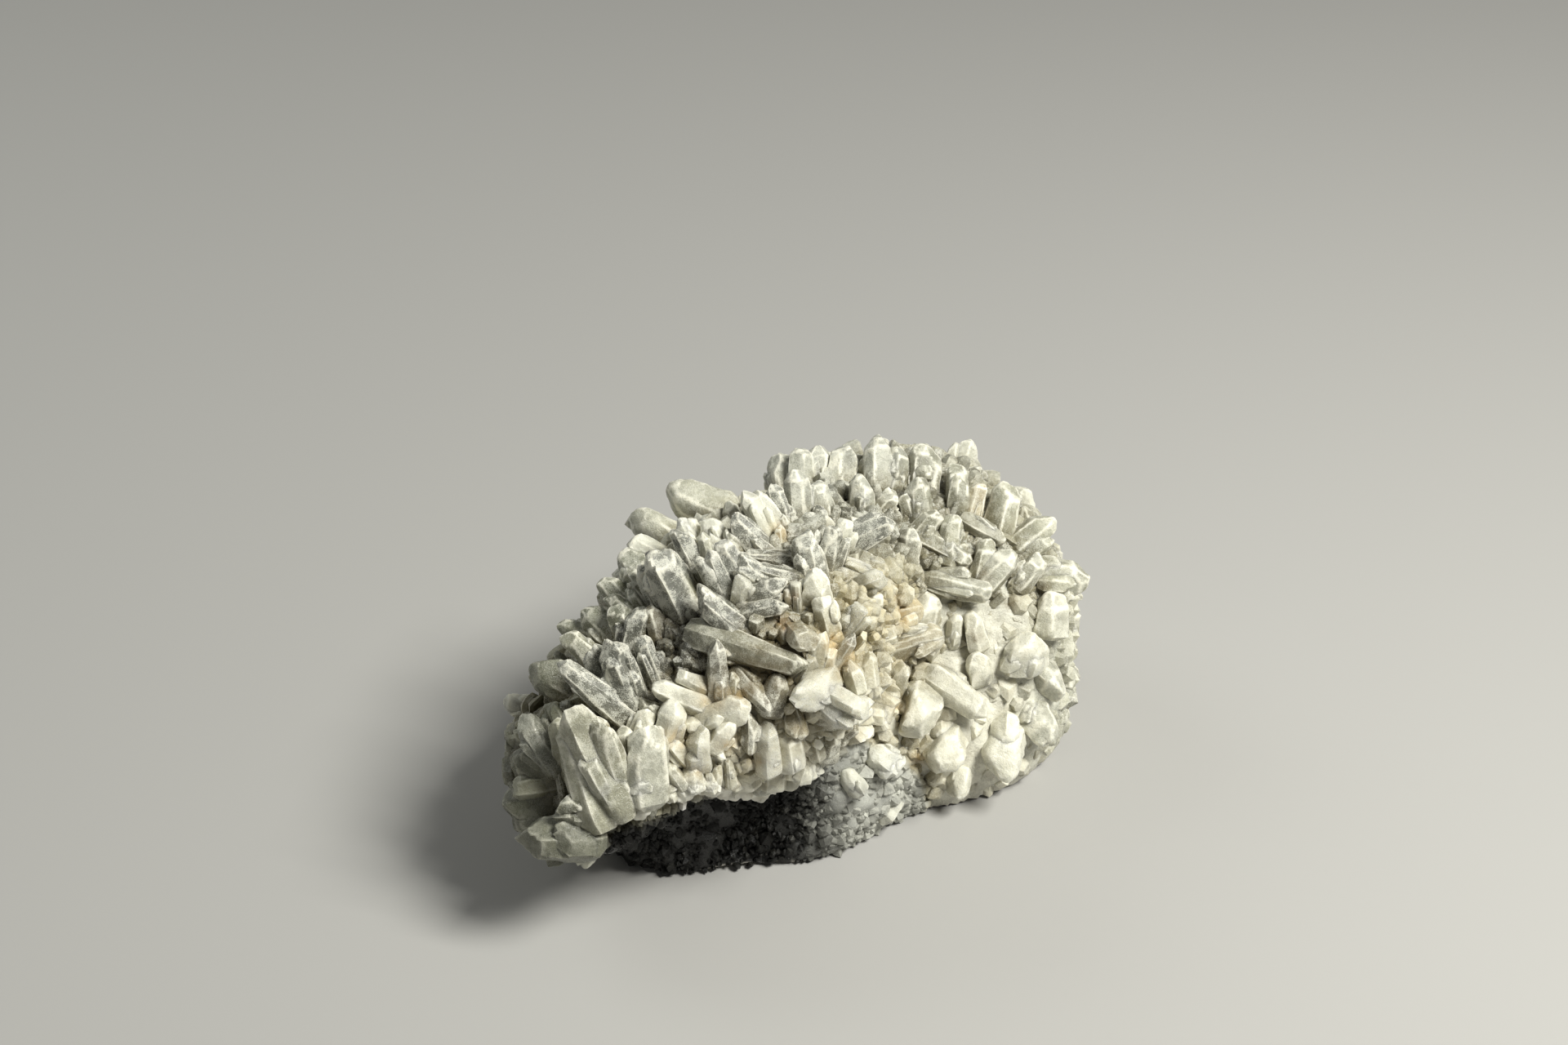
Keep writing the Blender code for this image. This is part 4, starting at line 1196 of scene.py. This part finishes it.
# ---- Back and end crystals ----
# The crystals on the sides turned away from the eye: stout, pale quartz rooted about 8 mm apart,
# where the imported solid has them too, with lesser ones grown up in the room between them.
SOLID_FRONT_CRYSTALS = 144
HIDDEN_RAYS = 520
HIDDEN_SPACING = 7.8
HIDDEN_LOWEST = 6.0
HIDDEN_FACING = -0.30
HIDDEN_DROOP = -0.35
BACK_GRID = (4, 5, 6)
BACK_TUCK = 1.5
LESSER_RAYS = 5200
LESSER_SPACING = 4.0
LESSER_LOWEST = 4.5
LESSER_FACING = -0.1
LESSER_GRID = (2, 4, 4)
LESSER_TUCK = 1.9
PALEST = 0.9


def tucked(points, normals):
    """How far behind the skyline a crystal has to lean away from the eye: 1 just past the skyline,
    fading to 0 before it and on the far side."""
    turned = facing_away(points, normals)
    return ramp(turned, -0.12, 0.04) * ramp(turned, 0.55, 0.20)


def has_room(place, normal, away, lowest, least_away, spacing):
    """Whether a crystal may root at a place: not low or under an overhang, turned from the eye far
    enough and clear of the crystals that are there."""
    droops = place[2] < lowest or normal[2] < HIDDEN_DROOP
    near = np.linalg.norm(np.array(taken) - place, axis=1).min() < spacing
    return not (droops or near or away < least_away)


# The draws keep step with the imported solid's, so that both have their stout crystals in the same
# places. The turns that it draws as well, one for each crystal, aren't needed here.
throws = random.Random(11)
for _ in range(SOLID_FRONT_CRYSTALS):
    throws.uniform(0.0, math.tau)
places, place_normals = skin_places(spiral_rays(HIDDEN_RAYS))
facing = facing_away(places, place_normals)
taken = list(np.concatenate(grown_roots))
back_rows = []
for place, normal, away in zip(places, place_normals, facing):
    back_width = throws.uniform(3.4, 6.2)
    back_length = throws.uniform(4.0, 7.5)
    lean = np.array([throws.gauss(0.0, 0.35) for _ in range(3)])
    throws.uniform(0.0, math.tau)
    if has_room(place, normal, away, HIDDEN_LOWEST, HIDDEN_FACING, HIDDEN_SPACING):
        taken.append(place)
        back_rows.append((*place, *unit(normal + lean), back_length + ROOT_DEPTH, back_width))
back_rows = np.array(back_rows)
end_across, end_up = sheet_place(back_rows[:, :3])
back_rows[:, 6] *= 1 - 0.40 * ramp(end_across, 38.0, 44.0) * ramp(end_up, 34.0, 30.0)
back_places = back_rows[:, :3]
back_normals = outward(back_places)
turned = facing_away(back_places, back_normals)
back_rows[:, 6:8] *= 1 + 0.22 * ramp(turned, 0.25, 0.50)[:, None]
back_rows[:, 6] *= 1 - 0.40 * ramp(turned, 0.26, 0.08)
back_tuck = BACK_TUCK * tucked(back_places, back_normals)[:, None]
back_axis = unit(back_rows[:, 3:6] + back_tuck * unit(back_places - EYE))
dice = np.random.default_rng(120)
back_base = back_places - back_axis * ROOT_DEPTH
back_tints = rock_tone_with_shade(back_places, back_normals) * dice.uniform(0.85, 1.25, (len(back_rows), 1))
back_choice = dice.choice([MILKY, MILKY, MILKY, SMOKED], len(back_rows))
back_ends = dice.choice(["round", "blunt", "point", "point"], len(back_rows))
back_small = bundled(back_base, back_axis, back_rows[:, 6], back_rows[:, 7], dice)
back_skins = crystal_skins(back_base, back_axis, back_rows[:, 6], back_rows[:, 7], back_ends, dice,
                           BACK_GRID, (0.05, 0.028))
back_small_skins = crystal_skins(*back_small, dice.choice(["point", "blunt"], len(back_small[0])),
                                 dice, BUNDLE_GRID, (0.04, 0.02))
grown_roots.append(back_places)
grown_axes.append(back_axis)
grown_sizes.append(back_rows[:, 6:8] - [ROOT_DEPTH, 0.0])

# The lesser crystals, where the stout ones have left room.
dice = np.random.default_rng(121)
places, place_normals = skin_places(unit(spiral_rays(LESSER_RAYS) * STRETCH))
facing = facing_away(places, place_normals)
lesser_rows = []
for place, normal, away in zip(places, place_normals, facing):
    if has_room(place, normal, away, LESSER_LOWEST, LESSER_FACING, LESSER_SPACING):
        taken.append(place)
        lesser_rows.append((*place, *unit(normal + dice.normal(0, 0.28, 3)),
                            dice.uniform(2.4, 6.6) + ROOT_DEPTH, dice.uniform(2.6, 6.0)))
lesser_rows = np.array(lesser_rows)
lesser_places = lesser_rows[:, :3]
lesser_normals = outward(lesser_places)
lesser_tuck = LESSER_TUCK * tucked(lesser_places, lesser_normals)[:, None]
lesser_axis = unit(lesser_rows[:, 3:6] + lesser_tuck * unit(lesser_places - EYE))
lesser_lobe = lobe_share(lesser_places)
left = ramp(sheet_place(lesser_places)[0], -40.0, -46.0)
turned = facing_away(lesser_places, lesser_normals)
lesser_rows[:, 6] *= (1 - 0.35 * lesser_lobe) * (1 - 0.3 * left) * (
    1 - 0.35 * ramp(turned, 0.22, 0.06))
lesser_rows[:, 7] *= 1 + 0.3 * lesser_lobe
lesser_tints = rock_tone_with_shade(lesser_places, lesser_normals) * dice.uniform(
    0.8, 1.35, (len(lesser_rows), 1))
lesser_choice = dice.choice([MILKY, MILKY, SMOKED], len(lesser_rows))
lesser_skins = crystal_skins(
    lesser_places - lesser_axis * ROOT_DEPTH, lesser_axis, lesser_rows[:, 6], lesser_rows[:, 7],
    dice.choice(["point", "blunt", "point"], len(lesser_rows)), dice, LESSER_GRID, SMOOTH)
grown_roots.append(lesser_places)
grown_axes.append(lesser_axis)
grown_sizes.append(lesser_rows[:, 6:8] - [ROOT_DEPTH, 0.0])
join_skins("back_crystals", [
    (*back_skins, back_tints, back_choice, BACK_GRID),
    (*back_small_skins, np.repeat(back_tints, BUNDLE, axis=0), np.repeat(back_choice, BUNDLE),
     BUNDLE_GRID),
    (*lesser_skins, np.clip(lesser_tints, 0, PALEST), lesser_choice, LESSER_GRID),
], LARGE_CREASE)


# ---- Crust ----
# The thousands of small crystals that fill the ground between the large ones and lean the way they
# do, with low stubs over the lobe and near the floor.
CRUST_COUNT = 4950
CRUST_WIDTH = 3.1
CRUST_WIDEST = 6.8
CRUST_HEIGHTS = (0.6, 3.8)
CRUST_ROOT = 2.0
CRUST_TUCK = 1.2
LEAN_REACH = 7.0
SMOKY_BELOW = 0.36


def crust_skins(count, seed):
    """Small crystals over the whole skin outside the hollow.

    Each axis is the outward direction plus the nearby large crystals' axes, weighed by nearness,
    plus a random lean. Heights shrink over the lobe and towards the floor, and widths grow over the
    lobe.
    """
    dice = np.random.default_rng(seed)
    roots, normals = spread_roots(count, seed)
    across, up = sheet_place(roots)
    kept = (roots[:, 2] > 1.2) & (hollow_share(roots) < 0.3) & (normals[:, 2] > -0.75)
    roots, normals, across, up = roots[kept], normals[kept], across[kept], up[kept]
    large_roots, large_axes = np.concatenate(grown_roots), np.concatenate(grown_axes)
    apart = ((roots[:, None] - large_roots) ** 2).sum(axis=-1)
    pull = np.exp(-apart / LEAN_REACH**2) @ large_axes
    axis = unit(0.7 * normals + 0.9 * pull / (1 + np.linalg.norm(pull, axis=1, keepdims=True))
                + dice.normal(0, 0.24, roots.shape))
    turned = facing_away(roots, normals)
    front = 1 - ramp(turned, -0.1, 0.3)
    skyline = ramp(turned, -0.30, -0.10) * ramp(turned, 0.20, 0.06)
    axis = unit(axis + CRUST_TUCK * tucked(roots, normals)[:, None] * unit(roots - EYE))
    lobe = lobe_share(roots)
    relief = (1 - 0.8 * lobe) * ramp(roots[:, 2], 0.0, 9.0)
    left = ramp(across, -36.0, -44.0)
    width = dice.lognormal(math.log(CRUST_WIDTH), 0.34, len(roots)) * (
        1 + 0.8 * lobe + 0.35 * left)
    notched = ramp(across, -20.0, -28.0) * ramp(up, 8.0, 14.0) * front
    height = dice.uniform(*CRUST_HEIGHTS, len(roots)) * (0.30 + 0.70 * relief) * (
        1 - 0.6 * notched)
    height = height * (1 - 0.55 * skyline) * (1 + 0.15 * ramp(turned, 0.2, 0.6))
    width = width * (1 - 0.2 * ramp(turned, 0.2, 0.6))
    sizes = np.concatenate(grown_sizes)
    offset = (roots + normals * (0.6 * height)[:, None])[:, None] - large_roots
    along = (offset * large_axes).sum(axis=-1)
    gap = np.linalg.norm(offset - np.clip(along, 0.2 * sizes[:, 0], sizes[:, 0])[..., None]
                         * large_axes, axis=-1)
    crowded = (gap < 0.55 * sizes[:, 1] + 0.3 * width[:, None]).any(axis=1)
    rim = (np.abs(up - np.interp(across, LIP_ACROSS, LIP_UP) - 0.5) < 2.6) & (across < 9)
    rim &= front > 0.5
    height = np.where(crowded, 0.25 * height, height)
    width = np.where(crowded, 1.3 * width, width)
    kept = ~(rim & (roots[:, 1] < 8))
    base = roots - axis * CRUST_ROOT - normals * notch_depth(roots)[:, None]
    tints = rock_tone_with_shade(roots, normals) * dice.uniform(0.78, 1.30, (len(roots), 1))
    length, width = height + CRUST_ROOT, np.minimum(width, CRUST_WIDEST)
    return base[kept], axis[kept], length[kept], width[kept], tints[kept], dice


crust_base, crust_axis, crust_length, crust_width, crust_tints, dice = crust_skins(CRUST_COUNT, 130)
crust_ends = dice.choice(["point", "blunt", "blunt", "flat"], len(crust_base))
crust_choice = np.where(crust_tints.mean(axis=1) < SMOKY_BELOW, SMOKED, MILKY)
join_skins("crust_crystals", [
    (*crystal_skins(crust_base, crust_axis, crust_length, crust_width, crust_ends, dice,
                    PLAIN_GRID, SMOOTH), np.clip(crust_tints, 0, PALEST), crust_choice,
     PLAIN_GRID),
], SMALL_CREASE)


# ---- Hollow druse ----
# The lining of the hollow: closely set points about a millimetre across, dark grey on the left,
# painted darker still as the shade under the lip, and pale towards the lobe, that glitter where a
# face turns to the light.
DRUSE_COUNT = 42000
DRUSE_GRID = (1, 2, 2)
DRUSE_WIDTH = 1.3
DRUSE_ROOT = 0.8
druse_quartz = quartz_finish("druse_quartz", frost_and_edge_light=0.10, sugar=0.06, roughness=0.42,
                             subsurface=0.0, transmission=0.0)
druse_shader = druse_quartz.node_tree.nodes["Principled BSDF"]
druse_shader.inputs["Specular IOR Level"].default_value = 0.25
roots, normals = spread_roots(DRUSE_COUNT, 140)
inside = (hollow_share(roots) > 0.4) & (roots[:, 2] > 0.4)
roots, normals = roots[inside], normals[inside]
dice = np.random.default_rng(141)
druse_axis = unit(normals + dice.normal(0, 0.35, roots.shape))
druse_light = ramp(sheet_place(roots)[0], -2.0, 10.0)
druse_width = dice.lognormal(math.log(DRUSE_WIDTH), 0.28, len(roots)) * (1 + 0.5 * druse_light)
druse_length = druse_width * dice.uniform(0.6, 1.2, len(roots)) * (
    1 - 0.45 * druse_light) + DRUSE_ROOT
druse_tints = rock_tone_with_shade(roots, normals) * dice.lognormal(-0.1, 0.55, (len(roots), 1)) ** (
    1 - 0.85 * druse_light)[:, None]
druse_ends = np.where(dice.uniform(0, 1, len(roots)) < 0.4 * druse_light, "blunt", "point")
join_skins("hollow_druse", [
    (*crystal_skins(roots - druse_axis * DRUSE_ROOT, druse_axis, druse_length, druse_width,
                    druse_ends, dice, DRUSE_GRID, SMOOTH),
     np.clip(druse_tints, 0, 0.8), np.zeros(len(roots)), DRUSE_GRID),
], SMALL_CREASE).data.materials[0] = druse_quartz


# ---- Lip ----
# The crust's lower rim over the hollow: a thick, chalk-white roll of fused stubs, smooth below
# where they have no room to grow.
LIP_ROUND = 18
LIP_LONG = 240
LIP_START = -33.5
LIP_STOP = 8.0
LIP_SMOOTHED = 25
LIP_THICK = 1.8
LIP_OUT = 0.6
LIP_RISE = 2.3
LIP_CREASE = 35.0


def lip_roll():
    """A closed roll swept along the rim: rings round the rim line whose radius swells and shrinks
    in lumps and closes to a point at either end."""
    along = np.linspace(0, 1, LIP_LONG)
    across = LIP_START + (LIP_STOP - LIP_START) * along
    up = np.interp(across, LIP_ACROSS, LIP_UP) + LIP_RISE + 0.5 * np.sin(across * 1.1)
    line, _ = seen_roots(across, up)
    line = line + outward(line) * LIP_OUT
    kernel = np.hanning(LIP_SMOOTHED) / np.hanning(LIP_SMOOTHED).sum()
    padded = np.pad(line, ((LIP_SMOOTHED // 2, LIP_SMOOTHED // 2), (0, 0)), mode="edge")
    line = np.stack([np.convolve(padded[:, i], kernel, mode="valid") for i in range(3)], axis=-1)
    ahead = unit(np.gradient(line, axis=0))
    first = unit(np.cross(ahead, outward(line)))
    second = np.cross(ahead, first)
    turn = np.arange(LIP_ROUND) * math.tau / LIP_ROUND
    ring = (np.cos(turn)[:, None] * first[:, None] + np.sin(turn)[:, None] * second[:, None])
    thick = LIP_THICK * np.sqrt(np.clip(1 - (2 * along - 1) ** 8, 0, 1))
    spots = line[:, None] + ring * thick[:, None, None]
    lumps = 1 + 0.38 * unevenness(spots, 2.0, 51) + 0.16 * unevenness(spots, 0.8, 52)
    spots = line[:, None] + ring * (thick[:, None] * np.clip(lumps, 0.5, 1.7))[..., None]
    return np.concatenate([spots[1:-1].reshape(-1, 3), line[:1], line[-1:]])


lip_corners = lip_roll()
lip_quads, lip_caps = wrapped_faces(LIP_LONG - 2, LIP_ROUND)
lip_colour, lip_room_to_whiten = stained_and_shaded(lip_corners, np.repeat([CHALK], len(lip_corners), axis=0))
add_piece("lip_roll", lip_corners, lip_quads, lip_caps, lip_colour,
          {"edge": np.full(len(lip_corners), 0.25), "dirt_and_shade": np.zeros(len(lip_corners)),
           "room_to_whiten": lip_room_to_whiten},
          [milky_quartz], np.zeros(len(lip_quads) + len(lip_caps)), LIP_CREASE)
